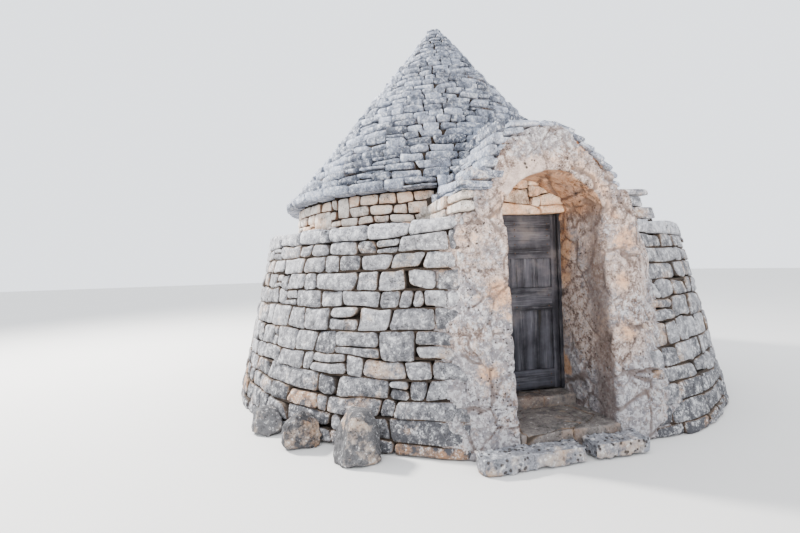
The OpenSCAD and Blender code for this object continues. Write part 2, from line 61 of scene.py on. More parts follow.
class Body(Enum):
    """The two bodies that pieces ride on."""

    HOUSE = "house"
    DOOR = "door"


@dataclass(frozen=True)
class House:
    """The house's sizes, as its solids have them."""

    ring_x: float = 0.29
    ring_y: float = -0.08
    foot_r: float = 2.975
    batter: float = 0.218
    wall_h: float = 1.70
    coping_z: float = 1.87
    coping_in_r: float = 2.2673
    ledge_z: float = 1.845
    room_r: float = 1.4005
    drum_r: float = 1.9355
    eave_z: float = 2.20
    cone_r: float = 2.0465
    eave_flare: float = 0.06
    flare_h: float = 0.33
    tip_z: float = 4.754
    tip_r: float = 0.062
    course_n: int = 30
    course_taper: float = 1.7
    front_y: float = 2.92
    front_batter: float = 0.07
    turn_left_x: float = -0.62
    turn_right_x: float = 0.74
    touch_z: float = 1.955
    portal_x: float = 0.025
    niche_l: float = -0.415
    niche_r: float = 0.465
    portal_l: float = -0.77
    portal_r: float = 0.80
    gable_mid_z: float = 1.99
    gable_r: float = 0.62
    gable_back_y: float = 2.4835
    lintel_top_z: float = 2.02
    head_y: float = 2.25
    door_y: float = 2.15
    layer_h: float = 0.096
    layer_n: int = 8
    layer_end_y: float = 1.275
    valley_w: float = 0.766
    shoulder_w: float = 0.785
    shoulder_step: float = 0.092
    shoulder_n: int = 4

    def course_z(self, i: int) -> float:
        """Height of the foot of a course of the cone."""
        unit = (self.tip_z - self.eave_z) / (self.course_n * (self.course_taper + 1) / 2)
        last = self.course_n - 1
        taper = self.course_taper
        return self.eave_z + sum(unit * (taper + (1 - taper) * k / last) for k in range(i))

    def cone_at(self, z: float) -> float:
        """Radius of the cone at a height."""
        slope = (self.tip_z - self.eave_z) / (self.cone_r - self.tip_r)
        rise = z - self.eave_z
        flare = 0.0 if z > self.eave_z + self.flare_h else self.eave_flare * (1 - rise / self.flare_h) ** 2
        return self.cone_r - rise / slope + flare

    def course_r(self, i: int) -> float:
        """Radius of the outer face of a course of the cone."""
        return self.cone_at(self.course_z(i))

    def turn(self, x: float) -> float:
        """Angle by which the front turns back at an edge, until it touches the ring wall."""
        across = abs(x - self.ring_x)
        deep = self.front_y - self.front_batter * self.touch_z + self.ring_y
        touch_r = self.foot_r - self.batter * self.touch_z
        return math.atan2(across, deep) + math.acos(touch_r / math.hypot(across, deep))

    def front_at(self, z: np.ndarray) -> np.ndarray:
        """The y of the portal's front at a height."""
        return self.front_batter * z - self.front_y

    def wall_r(self, turn: np.ndarray, z: np.ndarray) -> np.ndarray:
        """Distance of the wall's face from the ring's centre.

        Args:
            turn: direction from the ring's centre, as an angle from +X.
            z: height.

        Returns:
            The distance, with the flat front and its turned corners.
        """
        reach = self.foot_r - self.batter * z + 0 * turn
        dx, dy = np.cos(turn), np.sin(turn)
        bearing = np.arctan2(dx, -dy)
        front = self.front_at(z)
        for x in (self.turn_left_x, self.turn_right_x):
            side = math.copysign(self.turn(x), x)
            nx, ny = math.sin(side), -math.cos(side)
            across = dx * nx + dy * ny
            flat = (x - self.ring_x) * nx + (front - self.ring_y) * ny
            flat = flat / np.where(across > 0.2, across, 0.2)
            inside = (bearing / side > 0) & (bearing / side < 1)
            reach = np.where(inside, np.maximum(reach, flat), reach)
        ahead = dy < -0.05
        return np.where(ahead, np.minimum(reach, (front - self.ring_y) / np.where(ahead, dy, -1)), reach)

    def layer_z(self, j: int) -> float:
        """Height of the foot of a slab layer of the portal's roof."""
        return self.lintel_top_z + self.layer_h * j

    def layer_w(self, j: int, side: int) -> float:
        """Half width of a slab layer at the gable, on the left (-1) or right (1)."""
        rise = self.layer_z(j) + self.layer_h / 2 - self.gable_mid_z
        width = math.sqrt(self.gable_r ** 2 - rise ** 2) if rise < self.gable_r else self.layer_back_w(j)
        width += 0.04 if j == 0 else 0.0
        shoulder = side < 0 and j < self.shoulder_n
        return max(width, self.shoulder_w - self.shoulder_step * j) if shoulder else width

    def layer_back_w(self, j: int) -> float:
        """Half width of a slab layer where it meets the cone."""
        return self.valley_w - (self.layer_z(j) + self.layer_h / 2 - self.eave_z)


HOUSE = House()


class Wire:
    """A socket of a material's nodes, on which sums are written as Python expressions."""

    def __init__(self, sheet: "Sheet", socket: bpy.types.NodeSocket) -> None:
        """Keep the sheet and the socket."""
        self.sheet = sheet
        self.socket = socket

    def sum(self, operation: str, first: "Amount", second: "Amount" = 0.0) -> "Wire":
        """Add a Math node with two amounts."""
        return self.sheet.node("ShaderNodeMath", {"operation": operation}, {0: first, 1: second})

    def __add__(self, other: "Amount") -> "Wire":
        """Sum."""
        return self.sum("ADD", self, other)

    __radd__ = __add__

    def __sub__(self, other: "Amount") -> "Wire":
        """Difference."""
        return self.sum("SUBTRACT", self, other)

    def __rsub__(self, other: "Amount") -> "Wire":
        """Difference from a number."""
        return self.sum("SUBTRACT", other, self)

    def __mul__(self, other: "Amount") -> "Wire":
        """Product."""
        return self.sum("MULTIPLY", self, other)

    __rmul__ = __mul__

    def clamp(self) -> "Wire":
        """Keep between nought and one."""
        return self.sheet.node("ShaderNodeClamp", {}, {"Value": self})

    def above(self, edge: float, soft: float) -> "Wire":
        """A mask that rises from nought to one round an edge, over a soft width."""
        return self.sheet.node("ShaderNodeMapRange", {"interpolation_type": "SMOOTHSTEP"},
                               {"Value": self, "From Min": edge - soft, "From Max": edge + soft})


Amount = Union[Wire, float]


class Sheet:
    """The nodes of one material."""

    def __init__(self, name: str) -> None:
        """Start an empty material that reads Object coordinates."""
        self.material = bpy.data.materials.new(name)
        self.material.use_nodes = True
        self.tree = self.material.node_tree
        self.tree.nodes.clear()
        self.place = self.node("ShaderNodeTexCoord", {}, {}, "Object")

    def node(self, kind: str, settings: dict[str, Any], sockets: dict[Any, Any],
             out: Union[int, str] = 0) -> Wire:
        """Add a node.

        Args:
            kind: the node's type.
            settings: what is set before its sockets.
            sockets: values or wires by socket name or number.
            out: the output to hand back.

        Returns:
            The wire of that output.
        """
        made = self.tree.nodes.new(kind)
        for key, value in settings.items():
            setattr(made, key, value)
        for key, value in sockets.items():
            if isinstance(value, Wire):
                self.tree.links.new(value.socket, made.inputs[key])
            else:
                made.inputs[key].default_value = value
        return Wire(self, made.outputs[out])

    def noise(self, scale: float, detail: float = 3.0, rough: float = 0.55,
              place: Optional[Wire] = None) -> Wire:
        """A cloudy value between nought and one."""
        return self.node("ShaderNodeTexNoise", {}, {
            "Vector": place or self.place, "Scale": scale, "Detail": detail, "Roughness": rough})

    def cells(self, scale: float) -> Wire:
        """Distance to the nearest of many scattered cells."""
        return self.node("ShaderNodeTexVoronoi", {}, {"Vector": self.place, "Scale": scale}, "Distance")

    def stretch(self, x: float, y: float, z: float) -> Wire:
        """Coordinates multiplied along each axis."""
        return self.node("ShaderNodeMapping", {}, {"Vector": self.place, "Scale": (x, y, z)})

    def mix(self, mask: Amount, under: Union[Wire, Colour], over: Union[Wire, Colour]) -> Wire:
        """Lay one colour over another by a mask."""
        pick = lambda c: c if isinstance(c, Wire) else (*c, 1.0)
        return self.node("ShaderNodeMix", {"data_type": "RGBA"}, {0: mask, 6: pick(under), 7: pick(over)}, 2)

    def marks(self) -> tuple[Wire, Wire, Wire, Wire]:
        """The four marks that the mesh carries at each point."""
        colour = self.node("ShaderNodeAttribute", {"attribute_name": MARKS}, {}, "Color")
        outs = self.node("ShaderNodeSeparateColor", {}, {0: colour}).socket.node.outputs
        return (*(Wire(self, outs[k]) for k in range(3)), Wire(self, colour.socket.node.outputs["Alpha"]))

    def shade(self, colour: Wire, rough: Amount, height: Wire, depth: float,
              metal: float = 0.0) -> bpy.types.Material:
        """Join colour, roughness and relief to the surface.

        Args:
            colour: the base colour.
            rough: roughness, a wire or a number.
            height: the relief, from nought to one.
            depth: depth of the relief in metres.
            metal: how metallic it is.

        Returns:
            The finished material.
        """
        bump = self.node("ShaderNodeBump", {}, {"Strength": 1.0, "Distance": depth, "Height": height})
        surface = self.node("ShaderNodeBsdfPrincipled", {}, {
            "Base Color": colour, "Roughness": rough, "Metallic": metal, "Specular IOR Level": 0.25,
            "Normal": bump})
        end = self.tree.nodes.new("ShaderNodeOutputMaterial")
        self.tree.links.new(surface.socket, end.inputs["Surface"])
        return self.material


@dataclass(frozen=True)
class StoneFinish:
    """Weathered limestone: a grey face with warm patches and pale lichen; its pits, and its edges and flanks
    that lie in the joints, are darkened as painted shade.
    """

    name: str
    dark: Colour
    light: Colour
    cream: Colour = (0.50, 0.41, 0.33)
    warm: Colour = (0.44, 0.23, 0.11)
    lichen: Colour = (0.74, 0.74, 0.74)
    # joint: colour of the painted shade on the edges, flanks and backs that lie in the joints.
    joint: Colour = (0.045, 0.034, 0.026)
    edge: Colour = (0.25, 0.16, 0.10)
    pit_scale: float = 48.0
    lichen_share: float = 0.60
    warm_share: float = 0.50
    pit_size: float = 0.20
    pit_share: float = 0.52
    relief: float = 0.016

    def dress(self) -> bpy.types.Material:
        """Make the material."""
        sheet = Sheet(self.name)
        tone, warmth, rim, _ = sheet.marks()
        cloud = sheet.noise(4.5, 5.0, 0.62)
        mottle = sheet.noise(14.0, 7.0, 0.75)
        grain = sheet.noise(85.0, 5.0, 0.78)
        speck = sheet.noise(42.0, 4.0, 0.72)
        pores = sheet.cells(self.pit_scale)
        face = (tone * 0.8 + (mottle - 0.5) * 3.0 + (grain - 0.5) * 1.8 + 0.08).clamp()
        colour = sheet.mix(face, self.dark, self.light)
        blush = (warmth * 0.42 + (cloud - 0.5) * 2.0 + (mottle - 0.5) * 1.6).above(self.warm_share, 0.22)
        colour = sheet.mix(blush * 0.75, colour, sheet.mix(face, self.warm, self.cream))
        edge = (rim * 0.9 + (cloud - 0.5) * 2.0 + (mottle - 0.5) * 1.2).above(0.56, 0.16)
        colour = sheet.mix(edge * 0.7, colour, self.edge)
        pale = (speck + (mottle - 0.5) * 0.9).above(self.lichen_share, 0.04)
        colour = sheet.mix(pale * 0.55, colour, self.lichen)
        soot = sheet.noise(7.0, 6.0, 0.8, sheet.stretch(1.0, 1.0, 0.55)).above(0.60, 0.06)
        colour = sheet.mix(soot * 0.6, colour, (0.065, 0.064, 0.066))
        # Painted shade: clusters of small pits darkened to near black.
        nest = sheet.noise(5.0, 2.0, 0.5).above(self.pit_share, 0.05)
        pit = (1.0 - (pores + (mottle - 0.5) * 0.6).above(self.pit_size, 0.06)) * nest
        colour = sheet.mix(pit * 0.85, colour, (0.035, 0.028, 0.024))
        # Painted shade: rounded edges, flanks, undersides and backs, which lie in the joints, darken towards
        # the joint colour.
        colour = sheet.mix(rim.above(0.68, 0.20) * 0.95, colour, self.joint)
        height = mottle * 0.9 + grain * 0.25 - pit * 0.35 + speck * 0.1
        return sheet.shade(colour, 0.95 - mottle * 0.1, height, self.relief)


@dataclass(frozen=True)
class PlasterFinish:
    """Old lime plaster: pinkish beige, washed grey and white, stained, with painted shade in its pits, holes,
    seams and cracks and inside the niche, and painted patches of light.
    """

    name: str = "portal_plaster"
    pink: Colour = (0.125, 0.085, 0.070)
    beige: Colour = (0.56, 0.455, 0.405)
    grey: Colour = (0.17, 0.178, 0.205)
    white: Colour = (0.74, 0.74, 0.76)
    smooth: Colour = (0.62, 0.505, 0.455)
    orange: Colour = (0.72, 0.40, 0.20)
    # The brown of stains, also used as painted shade inside the niche and in the seams and cracks.
    stain_and_shade: Colour = (0.12, 0.085, 0.072)
    holes: Sequence[Sequence[float]] = (
        (-0.885, 1.637, 0.020), (-0.765, 1.592, 0.015), (-0.229, 2.236, 0.011), (-0.216, 2.207, 0.012),
        (-0.168, 2.264, 0.008), (-0.146, 2.262, 0.007), (-0.905, 1.27, 0.013), (-0.70, 1.60, 0.008),
        (-0.66, 1.615, 0.008))

    def dress(self) -> bpy.types.Material:
        """Make the material; its marks are grey wash, orange earth with painted patches of light, and stain
        with painted shade.
        """
        sheet = Sheet(self.name)
        wash, earth_and_light, stain_and_shade, calm = sheet.marks()
        cloud = sheet.noise(3.6, 6.0, 0.68)
        mottle = sheet.noise(16.0, 7.0, 0.76)
        grain = sheet.noise(65.0, 5.0, 0.78)
        speck = sheet.noise(34.0, 5.0, 0.74)
        pores = sheet.cells(34.0)
        base = ((mottle - 0.5) * 4.4 + (grain - 0.5) * 3.0 + (cloud - 0.5) * 1.6 + 0.55).clamp()
        colour = sheet.mix(base, self.pink, self.beige)
        greyed = (wash * 0.8 + (cloud - 0.5) * 2.4 + (speck - 0.5) * 2.2).above(0.50, 0.22)
        colour = sheet.mix(greyed * 0.7, colour, self.grey)
        whited = ((speck - 0.5) * 2.2 + (mottle - 0.5) * 1.6 + wash * 0.22).above(0.30, 0.12)
        colour = sheet.mix(whited * 0.55, colour, self.white)
        # The earth mark also carries painted patches of light on the right reveal.
        earth_and_light_mask = (earth_and_light + (mottle - 0.5) * 1.4 + (cloud - 0.5) * 0.8).above(0.52, 0.20)
        colour = sheet.mix(earth_and_light_mask * 0.72, colour, sheet.mix(base, (0.36, 0.17, 0.085), self.orange))
        laid = (calm + (mottle - 0.5) * 1.2 + (speck - 0.5) * 0.6).above(0.5, 0.16)
        fresh = ((mottle - 0.5) * 3.0 + (grain - 0.5) * 1.5 + 0.6).clamp()
        clean = sheet.mix(fresh, (0.33, 0.255, 0.225), self.smooth)
        colour = sheet.mix(laid * 0.8, colour, clean)
        # Stains, and painted shade inside the niche, in seams and in cracks.
        stain_and_shade_mask = (stain_and_shade + (mottle - 0.5) * 1.1 + (speck - 0.5) * 0.9).above(0.50, 0.25)
        colour = sheet.mix(stain_and_shade_mask * 0.75, colour, self.stain_and_shade)
        soot = sheet.noise(12.0, 7.0, 0.84).above(0.60, 0.05)
        colour = sheet.mix(soot * 0.6, colour, (0.07, 0.06, 0.056))
        # Painted shade: clusters of small pits darkened to near black.
        nest = sheet.noise(3.0, 2.0, 0.5).above(0.54, 0.04)
        pit = (1.0 - (pores + (mottle - 0.5) * 0.8).above(0.20, 0.05)) * nest
        colour = sheet.mix(pit * 0.9, colour, (0.035, 0.026, 0.022))
        # Painted shade: the listed holes darkened to near black.
        flat, hollow = sheet.stretch(1.0, 0.0, 1.0), sheet.noise(60.0, 1.0) * 0.0
        for x, z, size in self.holes:
            ends = {0: flat, 1: (x, 0, z)}
            away = sheet.node("ShaderNodeVectorMath", {"operation": "DISTANCE"}, ends, "Value")
            hollow = hollow + (1.0 - (away + (mottle - 0.5) * 0.02).above(size, 0.004))
        colour = sheet.mix(hollow.clamp() * 0.92, colour, (0.03, 0.022, 0.018))
        height = mottle * 0.9 + grain * 0.25 - pit * 0.35 + speck * 0.2 - hollow.clamp() * 0.5
        return sheet.shade(colour, 0.95 - mottle * 0.08, height, 0.020)


@dataclass(frozen=True)
class WoodFinish:
    """Bare weathered planks: bluish grey, with grain, cracks and worn ends."""

    name: str
    along_z: bool
    dark: Colour = (0.012, 0.012, 0.016)
    light: Colour = (0.095, 0.095, 0.115)

    def dress(self) -> bpy.types.Material:
        """Make the material with its grain along the boards."""
        sheet = Sheet(self.name)
        turned = lambda x, y, z: sheet.stretch(x, y, z) if self.along_z else sheet.stretch(z, y, x)
        run, fine = turned(38.0, 38.0, 1.6), turned(150.0, 150.0, 4.0)
        grain = sheet.noise(1.0, 6.0, 0.62, run)
        fibre = sheet.noise(1.0, 4.0, 0.7, fine)
        cloud = sheet.noise(4.0, 4.0, 0.6)
        board = sheet.noise(1.0, 0.0, 0.5, turned(11.0, 0.1, 0.1))
        tone = (grain - 0.5) * 1.2 + (fibre - 0.5) * 0.5 + (cloud - 0.5) * 1.8 + (board - 0.5) * 1.4
        tone = (tone + 0.40).clamp()
        colour = sheet.mix(tone, self.dark, self.light)
        colour = sheet.mix(cloud.above(0.60, 0.12) * 0.5, colour, (0.14, 0.115, 0.10))
        colour = sheet.mix((fibre * 0.6 + grain * 0.6).above(0.70, 0.06) * 0.3, colour, (0.22, 0.215, 0.23))
        crack = grain.above(0.36, 0.03)
        colour = sheet.mix((1.0 - crack) * 0.8, colour, (0.02, 0.018, 0.016))
        return sheet.shade(colour, 0.86 - fibre * 0.15, grain * 0.5 + fibre * 0.25 + crack * 0.3, 0.004)


@dataclass(frozen=True)
class IronFinish:
    """Forged iron with brown rust."""

    name: str = "hinge_iron"

    def dress(self) -> bpy.types.Material:
        """Make the material."""
        sheet = Sheet(self.name)
        cloud = sheet.noise(30.0, 5.0, 0.65)
        grain = sheet.noise(220.0, 3.0, 0.6)
        colour = sheet.mix((cloud * 1.5 - 0.3).clamp(), (0.035, 0.028, 0.025), (0.11, 0.06, 0.038))
        return sheet.shade(colour, 0.88 - cloud * 0.2, cloud * 0.6 + grain * 0.3, 0.0012, 0.25)


@dataclass(frozen=True)
class EarthFinish:
    """Dry earth and crumbled mortar between the stones."""

    name: str
    dark: Colour
    light: Colour
    chip: Colour

    def dress(self) -> bpy.types.Material:
        """Make the material."""
        sheet = Sheet(self.name)
        cloud = sheet.noise(7.0, 5.0, 0.65)
        grain = sheet.noise(60.0, 5.0, 0.7)
        chips = sheet.cells(40.0)
        colour = sheet.mix((cloud * 1.6 + grain * 1.2 - 0.9).clamp(), self.dark, self.light)
        colour = sheet.mix((1.0 - chips.above(0.16, 0.08)) * 0.5, colour, self.chip)
        return sheet.shade(colour, 0.97, cloud * 0.5 + grain * 0.3 - chips * 0.2, 0.012)


@dataclass(frozen=True)
class MasonryFinish:
    """Coursed rubble inside the room, drawn round the axis for faces that are seen only through the door."""

    name: str
    dark: Colour = (0.24, 0.21, 0.175)
    light: Colour = (0.48, 0.43, 0.36)
    row: float = 0.125
    stone: float = 0.27
    flat: bool = False

    def dress(self) -> bpy.types.Material:
        """Make the material."""
        sheet = Sheet(self.name)
        split = sheet.node("ShaderNodeSeparateXYZ", {}, {0: sheet.place})
        x, y, z = (Wire(sheet, split.socket.node.outputs[k]) for k in range(3))
        wander = sheet.noise(5.0, 2.0)
        if self.flat:
            along, up = x + wander * 0.1, y + wander * 0.12
        else:
            along, up = x.sum("ARCTAN2", y, x) * 1.35 + wander * 0.08, z + wander * 0.05
        where = sheet.node("ShaderNodeCombineXYZ", {}, {0: along, 1: up})
        sizes = {"Vector": where, "Scale": 1.0, "Mortar Size": 0.011, "Mortar Smooth": 0.6,
                 "Brick Width": self.stone, "Row Height": self.row, "Color1": (1, 1, 1, 1),
                 "Color2": (0.2, 0.2, 0.2, 1), "Mortar": (0.5, 0.5, 0.5, 1)}
        tone = sheet.node("ShaderNodeTexBrick", {}, sizes)
        gap = Wire(sheet, tone.socket.node.outputs[1])
        mottle = sheet.noise(16.0, 5.0, 0.66)
        grain = sheet.noise(70.0, 4.0, 0.7)
        level = sheet.node("ShaderNodeRGBToBW", {}, {0: tone})
        colour = sheet.mix((level * 0.5 + mottle * 0.9 - 0.3).clamp(), self.dark, self.light)
        colour = sheet.mix(gap * 0.85, colour, (0.07, 0.055, 0.045))
        return sheet.shade(colour, 0.95, mottle * 0.5 + grain * 0.2 - gap * 0.9, 0.016)


def ramp(value: np.ndarray, start: float, width: float) -> np.ndarray:
    """Rise from nought at the start to one over a width; a negative width falls away from the start."""
    return np.clip((value - start) / width, 0, 1)


def near(value: np.ndarray, width: float) -> np.ndarray:
    """Fall from one where the value is nought to nought where it is the width."""
    return np.clip(1 - value / width, 0, 1)


class Haze:
    """Smooth random values in space, the same on every run."""

    def __init__(self, seed: int) -> None:
        """Keep the seed."""
        self.seed = seed

    @staticmethod
    def scatter(cell: np.ndarray, key: int) -> np.ndarray:
        """A scattered value from nought to one for each cell."""
        key = cell @ np.array([73856093, 19349663, 83492791]) + key
        key = (key ^ (key >> 13)) * 1274126177 & 0x7FFFFFFF
        return ((key ^ (key >> 16)) & 0xFFFF) / 65535

    def at(self, points: np.ndarray, size: float) -> np.ndarray:
        """Values from -1 to 1 at points, with features of about the given size."""
        place = np.asarray(points, float) / size + self.seed * 17.31
        cell = np.floor(place).astype(np.int64)
        part = place - cell
        part = part * part * (3 - 2 * part)
        total = np.zeros(len(place))
        for corner in np.ndindex(2, 2, 2):
            share = np.prod(np.where(np.array(corner) == 1, part, 1 - part), axis=1)
            total += self.scatter(cell + np.array(corner), self.seed) * share
        return total * 2 - 1

    def rough(self, points: np.ndarray, size: float, steps: int = 3) -> np.ndarray:
        """Values of several sizes added, each half as large as the one before."""
        return sum(self.at(points, size / 2 ** k) / 2 ** k for k in range(steps))

    def cells(self, points: np.ndarray, size: float) -> tuple[np.ndarray, np.ndarray]:
        """Nearness to the seams between scattered cells, and a random value for each cell."""
        place = np.asarray(points, float) / size
        base = np.floor(place).astype(np.int64)
        first, second = np.full((2, len(place)), 9.0)
        owner = np.zeros(len(place))
        for step in np.ndindex(3, 3, 3):
            cell = base + np.array(step) - 1
            primes = (374761393, 668265263, 1442695041)
            spot = np.stack([self.scatter(cell, prime + self.seed) for prime in primes], axis=1)
            gap = np.linalg.norm(cell + spot - place, axis=1)
            closer = gap < first
            second = np.where(closer, first, np.minimum(second, gap))
            first = np.where(closer, gap, first)
            owner = np.where(closer, spot[:, 0], owner)
        return (second - first) * size, owner


class Bench:
    """The workbench: picks pieces up, copies solids and applies modifiers."""

    @staticmethod
    def take(piece: bpy.types.Object) -> bpy.types.Object:
        """Select one piece alone and make it the active one."""
        bpy.ops.object.select_all(action="DESELECT")
        piece.select_set(True)
        bpy.context.view_layer.objects.active = piece
        return piece

    @staticmethod
    @contextmanager
    def editing() -> Iterator[None]:
        """Edit the active piece, with everything selected at the start."""
        bpy.ops.object.mode_set(mode="EDIT")
        bpy.ops.mesh.select_all(action="SELECT")
        yield
        bpy.ops.object.mode_set(mode="OBJECT")

    @staticmethod
    def fresh(maker: Callable[..., Any], **sizes: Any) -> bpy.types.Object:
        """Deselect everything, then add a primitive."""
        bpy.ops.object.select_all(action="DESELECT")
        maker(**sizes)
        return bpy.context.object

    @staticmethod
    def paint(piece: bpy.types.Object, *materials: bpy.types.Material) -> bpy.types.Object:
        """Give a piece its materials, and no others."""
        piece.data.materials.clear()
        for material in materials:
            piece.data.materials.append(material)
        return piece

    @staticmethod
    def copy(name: str, *nodes: str) -> bpy.types.Object:
        """Copy solids of the model into one new piece, with their loose triangles merged."""
        made = []
        for node in nodes:
            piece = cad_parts[node].copy()
            piece.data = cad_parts[node].data.copy()
            piece.parent = None
            for key in list(piece.keys()):
                del piece[key]
            bpy.context.scene.collection.objects.link(piece)
            piece.data.materials.clear()
            made.append(piece)
        bpy.ops.object.select_all(action="DESELECT")
        for piece in made:
            piece.select_set(True)
        bpy.context.view_layer.objects.active = made[0]
        if len(made) > 1:
            bpy.ops.object.join()
        piece = bpy.context.view_layer.objects.active
        piece.name = name
        with Bench.editing():
            bpy.ops.mesh.remove_doubles(threshold=0.0002)
        return piece

    @staticmethod
    def apply(piece: bpy.types.Object, kind: str, **settings: Any) -> None:
        """Add a modifier with its settings and apply it."""
        Bench.take(piece)
        change = piece.modifiers.new(kind.lower(), kind)
        for key, value in settings.items():
            setattr(change, key, value)
        bpy.ops.object.modifier_apply(modifier=change.name)

    @staticmethod
    def points(piece: bpy.types.Object, normals: bool = False) -> np.ndarray:
        """The piece's points, or the directions in which its surface looks there."""
        items, value = (piece.data.vertex_normals, "vector") if normals else (piece.data.vertices, "co")
        flat = np.empty(len(piece.data.vertices) * 3)
        items.foreach_get(value, flat)
        return flat.reshape(-1, 3)

    @staticmethod
    def move(piece: bpy.types.Object, points: np.ndarray) -> None:
        """Give the piece's points new places."""
        piece.data.vertices.foreach_set("co", np.ascontiguousarray(points).ravel())
        piece.data.update()

    @staticmethod
    def mark(piece: bpy.types.Object, marks: np.ndarray) -> None:
        """Write three or four marks for each point, which the finish reads."""
        layer = piece.data.attributes.new(MARKS, "FLOAT_COLOR", "POINT")
        four = marks if marks.shape[1] == 4 else np.hstack([marks, np.zeros((len(marks), 1))])
        layer.data.foreach_set("color", four.ravel())

    @staticmethod
    def soften(piece: bpy.types.Object, degrees: float = 50.0) -> None:
        """Shade smooth, but keep edges sharper than an angle."""
        Bench.take(piece)
        bpy.ops.object.shade_smooth_by_angle(angle=math.radians(degrees))

    @staticmethod
    def finish(piece: bpy.types.Object, body: Body, slot: str, nodes: Sequence[str] = ()) -> None:
        """Seat the finished piece on its body, in place of the solids that it stands for."""
        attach(piece, body.value)
        if nodes:
            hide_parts(*nodes)
        LOG.info("%s: %d faces", piece.name, len(piece.data.polygons))


@dataclass(frozen=True)
class Block:
    """A stone modelled once: its points across, up and inwards, their nearness to a joint, its faces."""

    across: np.ndarray
    up: np.ndarray
    depth: np.ndarray
    rim: np.ndarray
    faces: list[list[int]]


class StoneStock:
    """Rounded blocks that are modelled once and copied for every stone."""

    ROUND_FROM = 0.62
    FRONT_SHARE = 0.86

    def __init__(self, columns: int, rows: int, count: int, seed: int) -> None:
        """Model the blocks, each a little different."""
        self.blocks = [self.model(columns, rows, seed + k) for k in range(count)]

    def model(self, columns: int, rows: int, seed: int) -> Block:
        """Model a block with its face towards +Z.

        Args:
            columns: faces across the front.
            rows: faces up the front.
            seed: which variant it is.

        Returns:
            The block, two units wide and high, and two deep.
        """
        piece = Bench.fresh(bpy.ops.mesh.primitive_grid_add, x_subdivisions=columns, y_subdivisions=rows,
                            size=2.0)
        narrow = self.FRONT_SHARE
        with Bench.editing():
            bpy.ops.transform.resize(value=(narrow, narrow, 1.0), center_override=(0, 0, 0))
            bpy.ops.transform.vertex_random(offset=0.05, uniform=0.0, normal=0.0, seed=seed)
            bpy.ops.mesh.select_all(action="SELECT")
            bpy.ops.mesh.region_to_loop()
            bpy.ops.transform.translate(value=(0, 0, -0.30))
            for down, wide in ((-0.70, 1 / narrow), (-1.0, 0.97)):
                bpy.ops.mesh.extrude_edges_move(TRANSFORM_OT_translate={"value": (0, 0, down)})
                bpy.ops.transform.resize(value=(wide, wide, 1.0), center_override=(0, 0, 0))
            bpy.ops.mesh.edge_face_add()
            bpy.ops.mesh.select_all(action="SELECT")
            bpy.ops.mesh.normals_make_consistent(inside=False)
        points = Bench.points(piece)
        faces = [list(face.vertices) for face in piece.data.polygons]
        bpy.data.objects.remove(piece)
        corner = np.minimum(np.abs(points[:, 0]), np.abs(points[:, 1])) > 0.7
        points[corner, :2] *= narrow
        depth = np.clip(-points[:, 2], 0.0, 2.0)
        rim = np.clip(depth * 0.75, 0.0, 1.0)
        return Block(points[:, 0], points[:, 1], depth, rim, faces)


@dataclass
class Slot:
    """The room that one stone fills: four corners along and up the face, from the lower left round."""

    corners: np.ndarray
    inset: float = 0.0
    deep: float = 0.16
    warm: float = 0.3
    tone: Optional[float] = None
    rim: float = 1.0
    sag: tuple[float, float] = (0.0, 0.0)

    def spot(self, place: "Place", depth: float = 0.0) -> np.ndarray:
        """The point in space of the slot's middle, or behind it by a depth."""
        s, z = self.corners.mean(axis=0)
        return place(np.array([s]), np.array([z]), np.array([depth]))[0]


Place = Callable[[np.ndarray, np.ndarray, np.ndarray], np.ndarray]


def round_face(reach: float) -> Place:
    """The face of a round course about the cone's axis."""
    ways = lambda s: (np.cos(s / reach), np.sin(s / reach))
    return lambda s, z, depth: np.stack([*((reach - depth) * way for way in ways(s)), z], axis=1)


